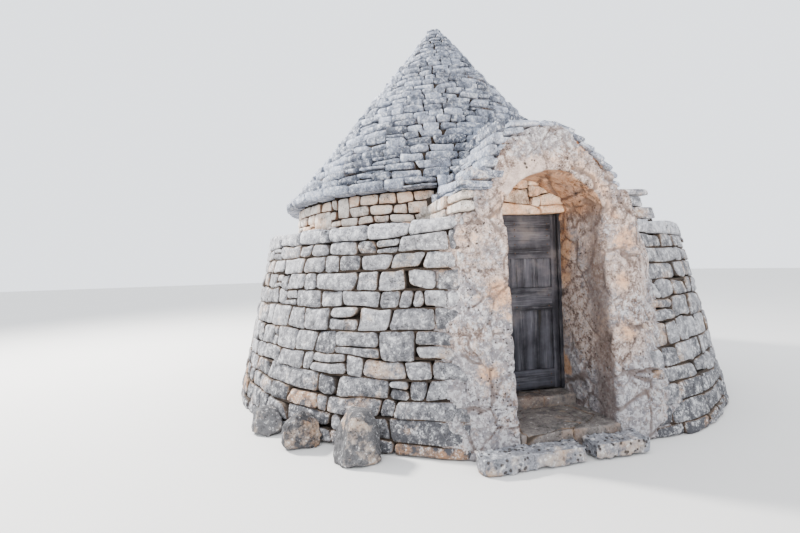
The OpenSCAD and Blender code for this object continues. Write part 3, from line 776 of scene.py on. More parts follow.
@dataclass
class Mason:
    """Lays stones of a stock into slots on a face."""

    stock: StoneStock
    seed: int
    joint: float = 0.008
    rounding: float = 0.022
    rough: float = 0.007
    tilt: float = 0.014
    warp: float = 0.012
    chips: float = 0.22
    points: list[np.ndarray] = field(default_factory=list)
    faces: list[list[int]] = field(default_factory=list)
    marks: list[np.ndarray] = field(default_factory=list)
    count: int = 0

    def __post_init__(self) -> None:
        """Start the mason's own luck."""
        self.luck = np.random.RandomState(self.seed)
        self.haze = Haze(self.seed)
        self.sway = Haze(7)

    def chip(self, corners: np.ndarray) -> np.ndarray:
        """Break a corner off some stones."""
        corners = np.array(corners, float)
        if self.luck.rand() < self.chips:
            k = self.luck.randint(4)
            inward = corners.mean(axis=0) - corners[k]
            corners[k] += inward * min(0.30, 0.030 / max(abs(inward[1]), 0.01)) * self.luck.uniform(0.5, 1.0)
        return corners

    def lay(self, slot: Slot, place: Place) -> None:
        """Lay one stone.

        Args:
            slot: the room that it fills.
            place: turns along, up and depth on the face into points.
        """
        luck = self.luck
        block = self.stock.blocks[luck.randint(len(self.stock.blocks))]
        turn = 1.0 if luck.rand() < 0.5 else -1.0
        low_left, low_right, top_right, top_left = self.chip(slot.corners)
        wide = (low_right[0] - low_left[0] + top_right[0] - top_left[0]) / 4
        high = (top_left[1] - low_left[1] + top_right[1] - low_right[1]) / 4
        gap = self.joint * luck.uniform(0.25, 0.75)
        half_w, half_h = max(wide - gap, 0.006), max(high - gap, 0.006)
        rounding = min(self.rounding * luck.uniform(0.7, 1.3), half_w * 0.9, half_h * 0.7)

        def spread(value: np.ndarray, half: float) -> np.ndarray:
            """Keep the rounding's size while the middle is stretched."""
            size, edge = np.abs(value), StoneStock.ROUND_FROM
            inner = size / edge * (half - rounding)
            outer = half - rounding + (size - edge) / (1 - edge) * rounding
            return np.sign(value) * np.where(size < edge, inner, outer)

        u = spread(block.across * turn, half_w) / max(wide, 0.006)
        v = spread(block.up * turn, half_h) / max(high, 0.006)
        left, low = (1 - u) / 2, (1 - v) / 2
        s, z = (low * (left * low_left[k] + (1 - left) * low_right[k])
                + (1 - low) * (left * top_left[k] + (1 - left) * top_right[k]) for k in range(2))
        z = z + (1 - u * u) * (low * slot.sag[0] + (1 - low) * slot.sag[1])
        lean = self.tilt * min(1.0, wide / 0.08)
        front = slot.inset + luck.uniform(0, 1) * lean
        front = front + (u * luck.uniform(-1, 1) + v * luck.uniform(-1, 1)) * lean * 0.5
        depth = np.where(block.depth < 1, front + block.depth * rounding * 0.8,
                         front + rounding * 0.8 + (block.depth - 1) * max(slot.deep - rounding, 0.02))
        flat = np.stack([s, z, depth], axis=1)
        shift = luck.uniform(0, 50, 3)
        amount = self.rough * np.clip(half_h / 0.05, 0.35, 1.0) * np.where(block.depth > 1.5, 0.3, 1.0)
        wobble = np.stack([self.haze.rough(flat + shift + k * 9.7, 0.075, 2) for k in range(3)], axis=1)
        flat += wobble * amount[:, None] * (0.7, 0.7, 1.3)
        sway = np.stack([self.sway.rough(flat * (1, 1, 0) + k * 31.7, 0.20, 3) for k in range(2)], axis=1)
        flat[:, :2] += sway * self.warp
        flat[:, 2] = np.maximum(flat[:, 2], 0.0)
        where = place(flat[:, 0], flat[:, 1], flat[:, 2])
        where[:, 2] = np.clip(where[:, 2], 0.0, HOUSE.tip_z)
        start = self.count
        self.points.append(where)
        self.faces.extend([[start + k for k in face] for face in block.faces])
        tone = slot.tone if slot.tone is not None else luck.beta(2.2, 2.2)
        warm, same = slot.warm * luck.uniform(0.6, 1.4), np.ones(len(u))
        self.marks.append(np.stack([same * tone, same * warm, block.rim * slot.rim], axis=1))
        self.count += len(where)

    def pile(self, name: str, material: bpy.types.Material) -> bpy.types.Object:
        """Join the stones that were laid into one piece."""
        mesh = bpy.data.meshes.new(name)
        mesh.from_pydata(np.vstack(self.points).tolist(), [], self.faces)
        mesh.update()
        piece = bpy.data.objects.new(name, mesh)
        bpy.context.scene.collection.objects.link(piece)
        Bench.mark(piece, np.vstack(self.marks))
        Bench.soften(piece, 62.0)
        return Bench.paint(piece, material)


@dataclass
class Courses:
    """Sets out coursed rubble: wavy courses, cut into stones of many widths, some split in two."""

    start: float
    end: float
    heights: Sequence[float]
    widths: Callable[[float, int], tuple[float, float]]
    seed: int
    wave: float = 0.014
    ripple: float = 0.006
    skew: float = 0.012
    split: float = 0.10
    tall: float = 0.04
    closed: bool = False
    first_widths: Sequence[Sequence[float]] = ()
    last_widths: Sequence[Sequence[float]] = ()
    lifts: dict[int, Callable[[float], float]] = field(default_factory=dict)

    def line(self, k: int, s: float) -> float:
        """Height of the line over course k at a place along the face."""
        if k in self.lifts or k == 0 or k == len(self.heights) - 1:
            return self.heights[k] + (self.lifts[k](s) if k in self.lifts else 0.0)
        turn = 2 * math.pi * (s - self.start) / (self.end - self.start)
        spot = [[math.cos(turn) * 3.2, math.sin(turn) * 3.2, k * 2.7]] if self.closed else [[s, k * 2.7, 0.3]]
        wave, ripple = self.haze.rough(np.array(spot), 0.75, 2)[0], self.haze.at(np.array(spot), 0.19)[0]
        return self.heights[k] + self.wave * float(wave) + self.ripple * float(ripple)

    def set_out(self) -> list[Slot]:
        """Set out the slots of every course."""
        self.haze, luck = Haze(self.seed), np.random.RandomState(self.seed)
        slots: list[Slot] = []
        taken: dict[int, list[tuple[float, float]]] = {}
        below: list[float] = []
        for k in range(len(self.heights) - 1):
            high = self.heights[k + 1] - self.heights[k]
            cuts_here: list[float] = []
            for first, last in self.free(taken.get(k, [])):
                cuts = self.cut(first, last, k, below, luck)
                cuts_here += cuts
                skews = [luck.uniform(-1, 1) * self.skew for _ in cuts]
                skews[0] = skews[-1] = 0.0
                for n in range(len(cuts) - 1):
                    a, b = cuts[n], cuts[n + 1]
                    loose = self.start + sum(self.given(self.first_widths, k + 1)) < a
                    loose = loose and b < self.end - sum(self.given(self.last_widths, k + 1))
                    loose = loose and k + 2 < len(self.heights)
                    tall = loose and luck.rand() < self.tall and 0.12 < b - a < 0.34
                    top = k + 2 if tall else k + 1
                    if tall:
                        taken.setdefault(k + 1, []).append((a, b))
                    sa, sb = (0.0, 0.0) if tall else (skews[n], skews[n + 1])
                    corners = np.array([[a - sa, self.line(k, a)], [b - sb, self.line(k, b)],
                                        [b + sb, self.line(top, b)], [a + sa, self.line(top, a)]])
                    made = [Slot(corners)] if tall else self.parts(corners, high, luck)
                    mid, ends = (a + b) / 2, corners[:, 1]
                    made[0].sag = (self.line(k, mid) - (ends[0] + ends[1]) / 2, 0.0)
                    made[-1].sag = (made[-1].sag[0], self.line(top, mid) - (ends[2] + ends[3]) / 2)
                    slots += made
            below = cuts_here
        return slots

    def free(self, taken: list[tuple[float, float]]) -> list[tuple[float, float]]:
        """The stretches of a course that no taller stone has taken."""
        stretches, here = [], self.start
        for a, b in sorted(taken):
            if a - here > 0.01:
                stretches.append((here, a))
            here = max(here, b)
        if self.end - here > 0.01:
            stretches.append((here, self.end))
        return stretches

    def cut(self, first: float, last: float, k: int, below: list[float],
            luck: np.random.RandomState) -> list[float]:
        """Cut a stretch into stones whose joints don't stand over those of the course below."""
        head, tail = self.given(self.first_widths, k), self.given(self.last_widths, k)
        if first == self.start and head:
            rest = self.cut(self.start + sum(head), last, k, below, luck)
            return [self.start, *(self.start + np.cumsum(head[:-1])), *rest]
        if last == self.end and tail:
            ends = self.end - np.cumsum(tail)[::-1]
            return [*self.cut(first, float(ends[0]), k, below, luck), *ends[1:], self.end]
        cuts = [first]
        while True:
            low, high = self.widths(cuts[-1], k)
            step = low + (high - low) * luck.beta(1.5, 1.7)
            spot = cuts[-1] + step
            near = min((abs(spot - old) for old in below), default=1.0)
            if near < 0.032:
                spot += 0.045
            if last - spot < low * 0.8:
                break
            cuts.append(spot)
        if len(cuts) == 1 or last - cuts[-1] > 0.02:
            cuts.append(last)
        return cuts

    @staticmethod
    def given(widths: Sequence[Sequence[float]], k: int) -> list[float]:
        """The widths that are given for a course."""
        return list(widths[k]) if k < len(widths) else []

    def parts(self, corners: np.ndarray, high: float, luck: np.random.RandomState) -> list[Slot]:
        """Split some slots into two thinner stones, one over the other."""
        if luck.rand() > self.split or high < 0.07:
            return [Slot(corners)]
        share = luck.uniform(0.38, 0.62)
        left, right = (corners[k] * (1 - share) + corners[3 - k] * share + (0, luck.uniform(-0.012, 0.012))
                       for k in range(2))
        return [Slot(np.array([*corners[:2], right, left])), Slot(np.array([left, right, *corners[2:]]))]


class RingFace:
    """The outer face of the ring wall, measured from the portal's right side round to its left."""

    centre = (HOUSE.ring_x, HOUSE.ring_y)

    def __init__(self) -> None:
        """Measure the face's length by direction, at mid height."""
        right, left = self.direction(HOUSE.portal_r), self.direction(HOUSE.portal_l) + 2 * math.pi
        turns = np.linspace(right - 0.35, left + 0.35, 4000)
        reach = HOUSE.wall_r(turns, np.full_like(turns, 0.9))
        x, y = reach * np.cos(turns), reach * np.sin(turns)
        length = np.concatenate([[0], np.cumsum(np.hypot(np.diff(x), np.diff(y)))])
        self.turns = turns
        self.length = length - np.interp(right, turns, length)
        self.total = float(np.interp(left, turns, self.length))

    @staticmethod
    def direction(x: float) -> float:
        """Direction from the ring's centre to the portal's front at x, at mid height."""
        return math.atan2(float(HOUSE.front_at(np.array(0.9))) - HOUSE.ring_y, x - HOUSE.ring_x)

    def place(self, s: np.ndarray, z: np.ndarray, depth: np.ndarray) -> np.ndarray:
        """Points on the face, or behind it by a depth."""
        turn = np.interp(s, self.length, self.turns)
        reach = HOUSE.wall_r(turn, z) - depth
        return np.stack([HOUSE.ring_x + reach * np.cos(turn), HOUSE.ring_y + reach * np.sin(turn), z], axis=1)


RING = RingFace()


def join(name: str, first: bpy.types.Object, *others: bpy.types.Object) -> bpy.types.Object:
    """Join pieces into the first one, which keeps its marks and gets a name."""
    Bench.take(first)
    for other in others:
        other.select_set(True)
    bpy.ops.object.join()
    first.name = name
    return first


def sunk_core(name: str, centre: tuple[float, float], face: Callable[..., Any],
              back: float) -> bpy.types.Object:
    """Copy a solid and move its outer face back behind the stones, towards an upright axis.

    Args:
        name: the solid.
        centre: where the axis stands.
        face: the outer face's distance from the axis, by direction and height.
        back: how far the face moves back.

    Returns:
        The core; the faces that look into the room stay where they are.
    """
    piece = Bench.copy(name, name)
    points = Bench.points(piece)
    x, y = points[:, 0] - centre[0], points[:, 1] - centre[1]
    reach = np.hypot(x, y)
    outer = np.abs(reach - face(np.arctan2(y, x), points[:, 2])) < FACE_SLACK
    shrink = np.where(outer, (reach - back) / reach, 1.0)
    points[:, 0], points[:, 1] = centre[0] + x * shrink, centre[1] + y * shrink
    Bench.move(piece, points)
    return piece


@dataclass
class RingWall:
    """The battered ring wall in its eight segments: a core of earth and rubble with stones on its face."""

    nodes: Sequence[tuple[str, int]] = (
        ("wall_front_left", 5), ("wall_left", 4), ("wall_left_rear", 3), ("wall_back_left", 2),
        ("wall_back_right", 1), ("wall_right_rear", 0), ("wall_right", 7), ("wall_front_right", 6))
    heights: Sequence[float] = (0.0, 0.10, 0.255, 0.415, 0.555, 0.72, 0.925, 1.11, 1.265, 1.435, 1.575, 1.70)
    core_in: float = 0.115
    left_widths: Sequence[Sequence[float]] = (
        (0.60, 0.27, 0.28, 0.50), (0.63, 0.18, 0.26, 0.10, 0.52), (0.59, 0.13, 0.50, 0.12, 0.39, 0.27),
        (0.35, 0.14, 0.17, 0.47, 0.22, 0.79), (0.31, 0.22, 0.37, 0.16, 0.39, 0.13, 0.38),
        (0.12, 0.33, 0.32, 0.42, 0.25, 0.27, 0.34), (0.08, 0.21, 0.39, 0.30, 0.32, 0.34, 0.27),
        (0.18, 0.21, 0.09, 0.12, 0.18, 0.39, 0.27, 0.37, 0.23),
        (0.05, 0.22, 0.28, 0.27, 0.21, 0.52, 0.15, 0.32, 0.17),
        (0.09, 0.29, 0.31, 0.31, 0.26, 0.19, 0.32, 0.40),
        (0.16, 0.46, 0.24, 0.20, 0.35, 0.27, 0.20, 0.44))
    right_widths: Sequence[Sequence[float]] = (
        (0.27, 0.36), (0.16, 0.54), (0.29, 0.41, 0.64), (0.16, 0.51, 0.29), (0.17, 0.22, 0.27, 0.24),
        (0.32, 0.18, 0.20, 0.28, 0.35), (0.16, 0.36, 0.36, 0.35), (0.25, 0.10, 0.29, 0.36), (0.75, 0.30),
        (0.92,), (0.13, 0.50, 0.26))

    @staticmethod
    def rise(s: float) -> float:
        """How much the coping's bed rises towards the portal, on its left."""
        return 0.06 * max(0.0, 1.0 - (RING.total - s) / 0.9) ** 1.5

    def widths(self, s: float, k: int) -> tuple[float, float]:
        """Least and greatest width of the stones at a place: larger beside the portal's left."""
        near, right = max(0.0, 1.0 - (RING.total - s) / 1.3), max(0.0, 1.0 - s / 2.4)
        return 0.13 + 0.13 * near - 0.03 * right, 0.36 + 0.10 * near - 0.10 * right

    def build(self, stock: StoneStock, finishes: "Finishes") -> None:
        """Build the eight segments."""
        slots = Courses(0.0, RING.total, self.heights, self.widths, 11, wave=0.020, ripple=0.009, skew=0.022,
                        split=0.08, tall=0.03, first_widths=self.right_widths, last_widths=self.left_widths,
                        lifts={len(self.heights) - 1: self.rise}).set_out()
        masons = {step: Mason(stock, 100 + step, joint=0.010, rounding=0.023) for _, step in self.nodes}
        luck = np.random.RandomState(5)
        for slot in slots:
            spot = slot.spot(RING.place)
            slot.deep, slot.warm = 0.15, luck.choice([0.0, 0.4, 0.9], p=[0.55, 0.31, 0.14])
            slot.tone = luck.beta(2.0, 2.0) * 0.8 + 0.52 * min(1.0, spot[2] / 0.8) - 0.32
            slot.inset = luck.uniform(0.0, 0.018)
            masons[int(math.degrees(math.atan2(spot[1], spot[0])) % 360 // 45)].lay(slot, RING.place)
        for name, step in self.nodes:
            core = sunk_core(name, RING.centre, HOUSE.wall_r, self.core_in)
            Bench.paint(core, finishes.mortar, finishes.inside)
            for face in core.data.polygons:
                away = math.hypot(face.center.x, face.center.y)
                face.material_index = 1 if abs(away - HOUSE.room_r) < 0.03 else 0
            stones = masons[step].pile(name + "_stones", finishes.ring)
            Bench.finish(join(name + "_masonry", stones, core), Body.HOUSE, "ring_stone", [name])


@dataclass
class Coping:
    """The coping course: long stones over the whole width of the ring wall's top."""

    def depth_at(self, s: float) -> float:
        """Width of the coping from its face to its inner edge."""
        turn = np.interp(s, RING.length, RING.turns)
        return float(HOUSE.wall_r(np.array(turn), np.array(1.8))) - HOUSE.coping_in_r

    @staticmethod
    def dip(s: float) -> float:
        """How much lower the coping's top lies beside the portal: more on its right."""
        return -0.05 * max(0.0, 1.0 - s / 1.1) - 0.012

    def build(self, stock: StoneStock, finishes: "Finishes") -> None:
        """Build the left and the right half."""
        plan = Courses(0.0, RING.total, (HOUSE.wall_h, HOUSE.coping_z), lambda s, k: (0.24, 0.56), 23,
                       skew=0.020, split=0.0, tall=0.0, first_widths=[(0.04, 0.37, 0.46)],
                       last_widths=[(0.06, 0.47, 0.43, 0.49, 0.12, 0.37, 0.50)],
                       lifts={0: RingWall.rise, 1: self.dip})
        halves = (("coping_left", 31), ("coping_right", 32))
        masons = {name: Mason(stock, seed, rounding=0.028) for name, seed in halves}
        luck = np.random.RandomState(6)
        for slot in plan.set_out():
            s, spot = slot.corners.mean(axis=0)[0], slot.spot(RING.place)
            drop = luck.uniform(0.0, 0.030)
            slot.corners[2:, 1] -= (drop, drop + luck.uniform(-0.01, 0.01))
            slot.deep, slot.rim = self.depth_at(s) - 0.01, 0.2
            slot.warm = luck.choice([0.05, 0.4], p=[0.7, 0.3])
            masons["coping_left" if spot[0] < 0 else "coping_right"].lay(slot, RING.place)
        for name, mason in masons.items():
            core = Bench.paint(sunk_core(name, RING.centre, HOUSE.wall_r, 0.07), finishes.mortar)
            points = Bench.points(core)
            points[:, 2] = np.where(points[:, 2] > HOUSE.coping_z - 0.01, HOUSE.coping_z - 0.10, points[:, 2])
            Bench.move(core, points)
            stones = mason.pile(name + "_stones", finishes.coping)
            Bench.finish(join(name + "_stones", stones, core), Body.HOUSE, "coping_stone", [name])


@dataclass
class Roof:
    """The cone: thirty courses of slabs round a plain core, and the small stone at its tip."""

    bands: Sequence[tuple[str, int, int]] = (
        ("roof_lower_courses", 0, 6), ("roof_middle_courses", 6, 14), ("roof_upper_courses", 14, 22),
        ("roof_cap", 22, 30))
    missing: float = 0.004
    tip_size: float = 0.10

    def lay_course(self, mason: Mason, i: int) -> None:
        """Lay one course of slabs."""
        low, high, reach = HOUSE.course_z(i), HOUSE.course_z(i + 1), HOUSE.course_r(i)
        share = i / (HOUSE.course_n - 1)
        least, most = 0.17 - 0.07 * share, 0.44 - 0.22 * share
        length = 2 * math.pi * reach
        plan = Courses(0.0, length, (low, high), lambda s, k: (min(least, length / 5), min(most, length / 3)),
                       300 + i, skew=0.010, split=0.10 if i < self.bands[-1][1] else 0.0, tall=0.0)
        for slot in plan.set_out():
            slot.corners[2:, 1] += mason.luck.uniform(-0.014, 0.006, 2)
            slot.corners[:2, 1] += mason.luck.uniform(-0.003, 0.009, 2)
            slot.inset = mason.luck.uniform(0.0, 0.034) * min(1.0, reach / 0.6)
            slot.deep, slot.warm = min(0.19, reach * 0.8), mason.luck.choice([0.0, 0.4], p=[0.85, 0.15])
            # rim sets how much painted joint shade and warm edge a slab gets; the eave course's undersides
            # get little.
            slot.rim = 0.1 if i == 0 else 0.4
            if mason.luck.rand() > self.missing:
                mason.lay(slot, round_face(reach))

    def tip(self) -> bpy.types.Object:
        """The blunt stone at the tip."""
        piece = Bench.fresh(bpy.ops.mesh.primitive_uv_sphere_add, segments=20, ring_count=12,
                            radius=self.tip_size, location=(0, 0, HOUSE.tip_z - self.tip_size))
        bpy.ops.object.transform_apply(location=True)
        points = Bench.points(piece)
        points[:, 2] = HOUSE.tip_z - 0.002 + (points[:, 2] - HOUSE.tip_z) * 0.75
        points[:, :2] += np.stack([Haze(4).at(points, 0.05), Haze(5).at(points, 0.05)], axis=1) * 0.008
        Bench.move(piece, points)
        Bench.mark(piece, np.tile([0.6, 0.0, 0.1], (len(points), 1)))
        Bench.soften(piece, 60.0)
        return piece

    def build(self, stock: StoneStock, finishes: "Finishes") -> None:
        """Build the four bands."""
        for number, (name, first, last) in enumerate(self.bands):
            top = last == HOUSE.course_n
            mason = Mason(stock, 200 + number, joint=0.010, rounding=0.018, tilt=0.016, warp=0.008)
            for i in range(first, last):
                self.lay_course(mason, i)
            core = Bench.paint(Bench.copy(name, name), finishes.mortar)
            points = Bench.points(core)
            reach = np.hypot(points[:, 0], points[:, 1])
            outer = reach > np.array([HOUSE.cone_at(z) for z in points[:, 2]]) - 0.20
            pull = 0.08 if top else 0.11
            shrink = np.where(outer, np.maximum(reach - pull, 0.01) / np.maximum(reach, 1e-6), 1.0)
            points[:, :2] *= shrink[:, None]
            points[:, 2] += 0.035 * (outer & (points[:, 2] < HOUSE.eave_z + 0.005))
            points[:, 2] = np.minimum(points[:, 2], HOUSE.tip_z - 0.09)
            Bench.move(core, points)
            stones = mason.pile(name + "_slabs", finishes.slab)
            parts = [core, Bench.paint(self.tip(), finishes.slab)] if top else [core]
            Bench.finish(join(name + "_slabs", stones, *parts), Body.HOUSE, "roof_slab", [name])


@dataclass
class Drum:
    """The drum of small warm stones under the eave."""

    heights: Sequence[float] = (1.82, 1.90, 1.985, 2.09, 2.20)

    @staticmethod
    def lay_passage_side(mason: Mason, side: int) -> None:
        """Lay the stones that stand against the passage, between the drum and the portal."""
        edge = HOUSE.portal_l - 0.03 if side < 0 else HOUSE.portal_r + 0.03

        def place(s: np.ndarray, z: np.ndarray, depth: np.ndarray) -> np.ndarray:
            """Points on the passage's side, or inwards from it."""
            return np.stack([edge - side * depth, side * s, z], axis=1)

        start, end = (1.68, 2.46) if side < 0 else (-2.46, -1.68)
        for slot in Courses(start, end, (1.83, 1.935, 2.035), lambda s, k: (0.12, 0.26), 45 + side, split=0.0,
                            tall=0.0).set_out():
            slot.deep, slot.warm, slot.rim = 0.26, mason.luck.uniform(0.0, 0.5), 0.3
            slot.tone = mason.luck.uniform(0.15, 0.55)
            mason.lay(slot, place)

    def build(self, stock: StoneStock, finishes: "Finishes") -> None:
        """Build the drum: its core and its face of small stones."""
        reach, place = HOUSE.drum_r, round_face(HOUSE.drum_r)
        plan = Courses(0.0, 2 * math.pi * reach, self.heights, lambda s, k: (0.10, 0.28), 41, wave=0.012,
                       skew=0.014, split=0.08, tall=0.05, closed=True)
        mason = Mason(stock, 42, joint=0.010, rounding=0.018, rough=0.006, tilt=0.02, warp=0.008)
        for slot in plan.set_out():
            spot = slot.spot(place)
            if abs(spot[0] - HOUSE.portal_x) < 0.5 and spot[1] < 0:
                continue
            slot.deep, slot.warm, slot.tone = 0.12, mason.luck.uniform(0.0, 1.2), mason.luck.uniform(0.4, 1.1)
            mason.lay(slot, place)
        for side in (-1, 1):
            self.lay_passage_side(mason, side)
        core = Bench.paint(sunk_core("drum", (0.0, 0.0), lambda turn, z: reach, 0.05), finishes.mortar)
        stones = mason.pile("drum_stones", finishes.warm)
        Bench.finish(join("drum_stones", stones, core), Body.HOUSE, "warm_stone", ["drum"])


@dataclass
class PortalRoof:
    """The slab roof that runs from the gable back into the cone, and the slabs that cap the gable."""

    step_back: float = 0.19
    first_step: int = 5
    cap_slabs: Sequence[Quad] = (
        ((-0.44, 2.40), (-0.28, 2.42), (-0.29, 2.47), (-0.43, 2.455)),
        ((-0.38, 2.47), (-0.20, 2.49), (-0.20, 2.545), (-0.37, 2.53)),
        ((-0.32, 2.54), (-0.05, 2.555), (-0.05, 2.605), (-0.30, 2.595)),
        ((-0.05, 2.55), (0.10, 2.555), (0.10, 2.60), (-0.04, 2.61)),
        ((0.02, 2.55), (0.26, 2.50), (0.28, 2.545), (0.06, 2.61)),
        ((0.15, 2.49), (0.35, 2.425), (0.37, 2.475), (0.20, 2.545)),
        ((0.29, 2.41), (0.44, 2.35), (0.46, 2.395), (0.32, 2.455)),
        ((0.40, 2.335), (0.52, 2.27), (0.54, 2.315), (0.42, 2.38)),
        ((0.48, 2.26), (0.60, 2.20), (0.61, 2.245), (0.50, 2.305)),
        ((0.54, 2.17), (0.645, 2.13), (0.65, 2.18), (0.56, 2.225)),
        ((0.57, 2.08), (0.66, 2.06), (0.66, 2.11), (0.58, 2.14)))
    shoulder_stones: Sequence[Quad] = (
        ((-0.79, 1.86), (-0.65, 1.87), (-0.65, 1.95), (-0.785, 1.94)),
        ((-0.785, 1.945), (-0.66, 1.955), (-0.655, 2.03), (-0.775, 2.022)))

    def step_y(self, j: int) -> float:
        """How far ahead of the axis a layer's front edge lies on the ridge."""
        return HOUSE.gable_back_y - (j - self.first_step) * self.step_back

    @staticmethod
    def lay_edge(mason: Mason, slot: Slot, place: Place, sunk: float, top: Sequence[float], p: float) -> None:
        """Lay one slab of a layer's edge, a little sunk and lowered; p is the chance of a warm one."""
        slot.corners[2:, 1] += mason.luck.uniform(*top, 2)
        slot.inset = mason.luck.uniform(0.0, sunk)
        slot.deep, slot.warm, slot.rim = 0.24, mason.luck.choice([0.0, 0.5], p=[1 - p, p]), 0.3
        mason.lay(slot, place)

    def side_place(self, j: int, side: int) -> tuple[Place, float, float]:
        """The face of one layer's edge, and where its stones start and end along it."""
        z = HOUSE.layer_z(j) + HOUSE.layer_h / 2
        front_y = self.step_y(max(j, self.first_step))
        front_w, back_w = HOUSE.layer_w(j, side), HOUSE.layer_back_w(j)
        over = -float(HOUSE.front_at(np.array(z))) - front_y if side < 0 and j < HOUSE.shoulder_n else 0.0
        run = front_y - HOUSE.layer_end_y

        def place(s: np.ndarray, z: np.ndarray, depth: np.ndarray) -> np.ndarray:
            """Points on the layer's edge; s runs towards the front on the left and backwards on the right."""
            ahead = s if side < 0 else -s
            share = np.clip(-ahead / run, 0.0, 1.0)
            width = front_w + (back_w - front_w) * share - depth
            return np.stack([HOUSE.portal_x + side * width, -front_y - ahead, z], axis=1)

        return (place, -run, over) if side < 0 else (place, 0.0, run)

    def lay_side(self, mason: Mason, side: int) -> None:
        """Lay the layers of one side."""
        for j in range(HOUSE.layer_n):
            place, start, end = self.side_place(j, side)
            low, high = HOUSE.layer_z(j), HOUSE.layer_z(j + 1)
            plan = Courses(start, end, (low, high), lambda s, k: (0.16, 0.40), 500 + 10 * j + side,
                           split=0.22, tall=0.0)
            for slot in plan.set_out():
                spot = slot.spot(place, 0.08)
                if math.hypot(spot[0], spot[1]) >= HOUSE.cone_at(float(spot[2])) - 0.06:
                    self.lay_edge(mason, slot, place, 0.035, (-0.018, 0.004), 0.25)

    def lay_fronts(self, mason: Mason, side: int) -> None:
        """Lay the slabs at the front ends of the layers, beside the gable and behind its head."""
        for j in range(0 if side < 0 else self.first_step + 1, HOUSE.layer_n):
            low, high = HOUSE.layer_z(j), HOUSE.layer_z(j + 1)
            front, inner, outer = self.step_y(j), 0.0, HOUSE.layer_w(j, side)
            if j <= self.first_step:
                front, inner = -float(HOUSE.front_at(np.array(low))), 0.555 - 0.035 * j
                outer = max(outer, inner + 0.09)

            def place(s: np.ndarray, z: np.ndarray, depth: np.ndarray) -> np.ndarray:
                """Points on the front face of the layer; s runs outward on the right, inward on the left."""
                return np.stack([HOUSE.portal_x + s, depth - front, z], axis=1)

            start, end = (-outer, -inner) if side < 0 else (inner, outer)
            for slot in Courses(start, end, (low, high), lambda s, k: (0.20, 0.38), 560 + 10 * j + side,
                                split=0.3 if j < 2 else 0.0, tall=0.0).set_out():
                self.lay_edge(mason, slot, place, 0.025, (-0.012, 0.004), 0.4)

    def lay_steps(self, mason: Mason, side: int) -> None:
        """Lay the flat slabs on the ridge's steps, of which the highest reaches the cone."""
        for j in range(self.first_step, HOUSE.layer_n):
            top, front = HOUSE.layer_z(j + 1), self.step_y(j)
            back = front - 0.23 if j < HOUSE.layer_n - 1 else HOUSE.layer_end_y
            half = min(HOUSE.layer_w(j, side), HOUSE.layer_back_w(j)) - 0.02

            def place(s: np.ndarray, t: np.ndarray, depth: np.ndarray) -> np.ndarray:
                """Points on the step's top, or below it; t runs backwards from its front."""
                return np.stack([HOUSE.portal_x + s, t - front, top - depth], axis=1)

            start, end = (-half, 0.0) if side < 0 else (0.0, half)
            rows = np.linspace(0.0, front - back, max(2, int((front - back) / 0.2) + 1))
            for slot in Courses(start, end, rows, lambda s, k: (0.14, 0.30), 590 + 10 * j + side, skew=0.015,
                                split=0.0, tall=0.0).set_out():
                slot.inset, slot.deep, slot.rim = mason.luck.uniform(0.0, 0.014), 0.08, 0.2
                slot.warm = mason.luck.choice([0.0, 0.5])
                mason.lay(slot, place)

    @staticmethod
    def front_place(x: np.ndarray, z: np.ndarray, depth: np.ndarray) -> np.ndarray:
        """Points on the gable's front, or back from it."""
        return np.stack([x, HOUSE.front_at(z) + depth, z], axis=1)

    def lay_cap(self, stock: StoneStock, finishes: "Finishes") -> None:
        """Lay thin slabs over the gable's round head, each stepping down over the next, and the shoulder."""
        mason = Mason(stock, 75, joint=0.006, rounding=0.014, rough=0.008, tilt=0.012, warp=0.008)
        for corners in self.cap_slabs:
            slot = Slot(np.array(corners), mason.luck.uniform(0.0, 0.02), 0.29, 0.3, rim=0.3)
            mason.lay(slot, self.front_place)
        stones = mason.pile("gable_cap_stones", finishes.slab)
        mason = Mason(stock, 76, joint=0.006, rounding=0.014, rough=0.010, tilt=0.012, warp=0.008)
        for corners in self.shoulder_stones:
            mason.lay(Slot(np.array(corners), 0.0, 0.30, 0.3, 0.45, 0.3), self.front_place)
        shoulder = mason.pile("gable_shoulder_stones", finishes.warm)
        Bench.finish(join("gable_cap_stones", stones, shoulder), Body.HOUSE, "roof_slab", ["gable_cap_slabs"])

    def build(self, stock: StoneStock, finishes: "Finishes") -> None:
        """Build both sides and the cap."""
        for side, name in ((-1, "portal_roof_left"), (1, "portal_roof_right")):
            mason = Mason(stock, 70 + side, joint=0.010, rounding=0.018, rough=0.009, tilt=0.025)
            self.lay_side(mason, side)
            self.lay_fronts(mason, side)
            self.lay_steps(mason, side)
            core = Bench.paint(Bench.copy(name, name), finishes.mortar)
            points = Bench.points(core)
            wide = side * (points[:, 0] - HOUSE.portal_x)
            inner = np.where(points[:, 2] < 2.30, 0.53, 0.20)
            wide = np.where(wide > inner, np.maximum(wide - 0.09, inner), wide)
            points[:, 0] = HOUSE.portal_x + side * wide
            points[:, 1] += 0.08 * (points[:, 1] < -HOUSE.gable_back_y - 0.05)
            points[:, 1] += 0.07 * ((points[:, 2] > HOUSE.layer_z(5) - 0.01) & (points[:, 1] < -2.0))
            points[:, 2] -= 0.03 * (points[:, 2] > HOUSE.layer_z(6) - 0.01)
            Bench.move(core, points)
            stones = mason.pile(name + "_slabs", finishes.slab)
            Bench.finish(join(name + "_slabs", stones, core), Body.HOUSE, "roof_slab", [name])
        self.lay_cap(stock, finishes)


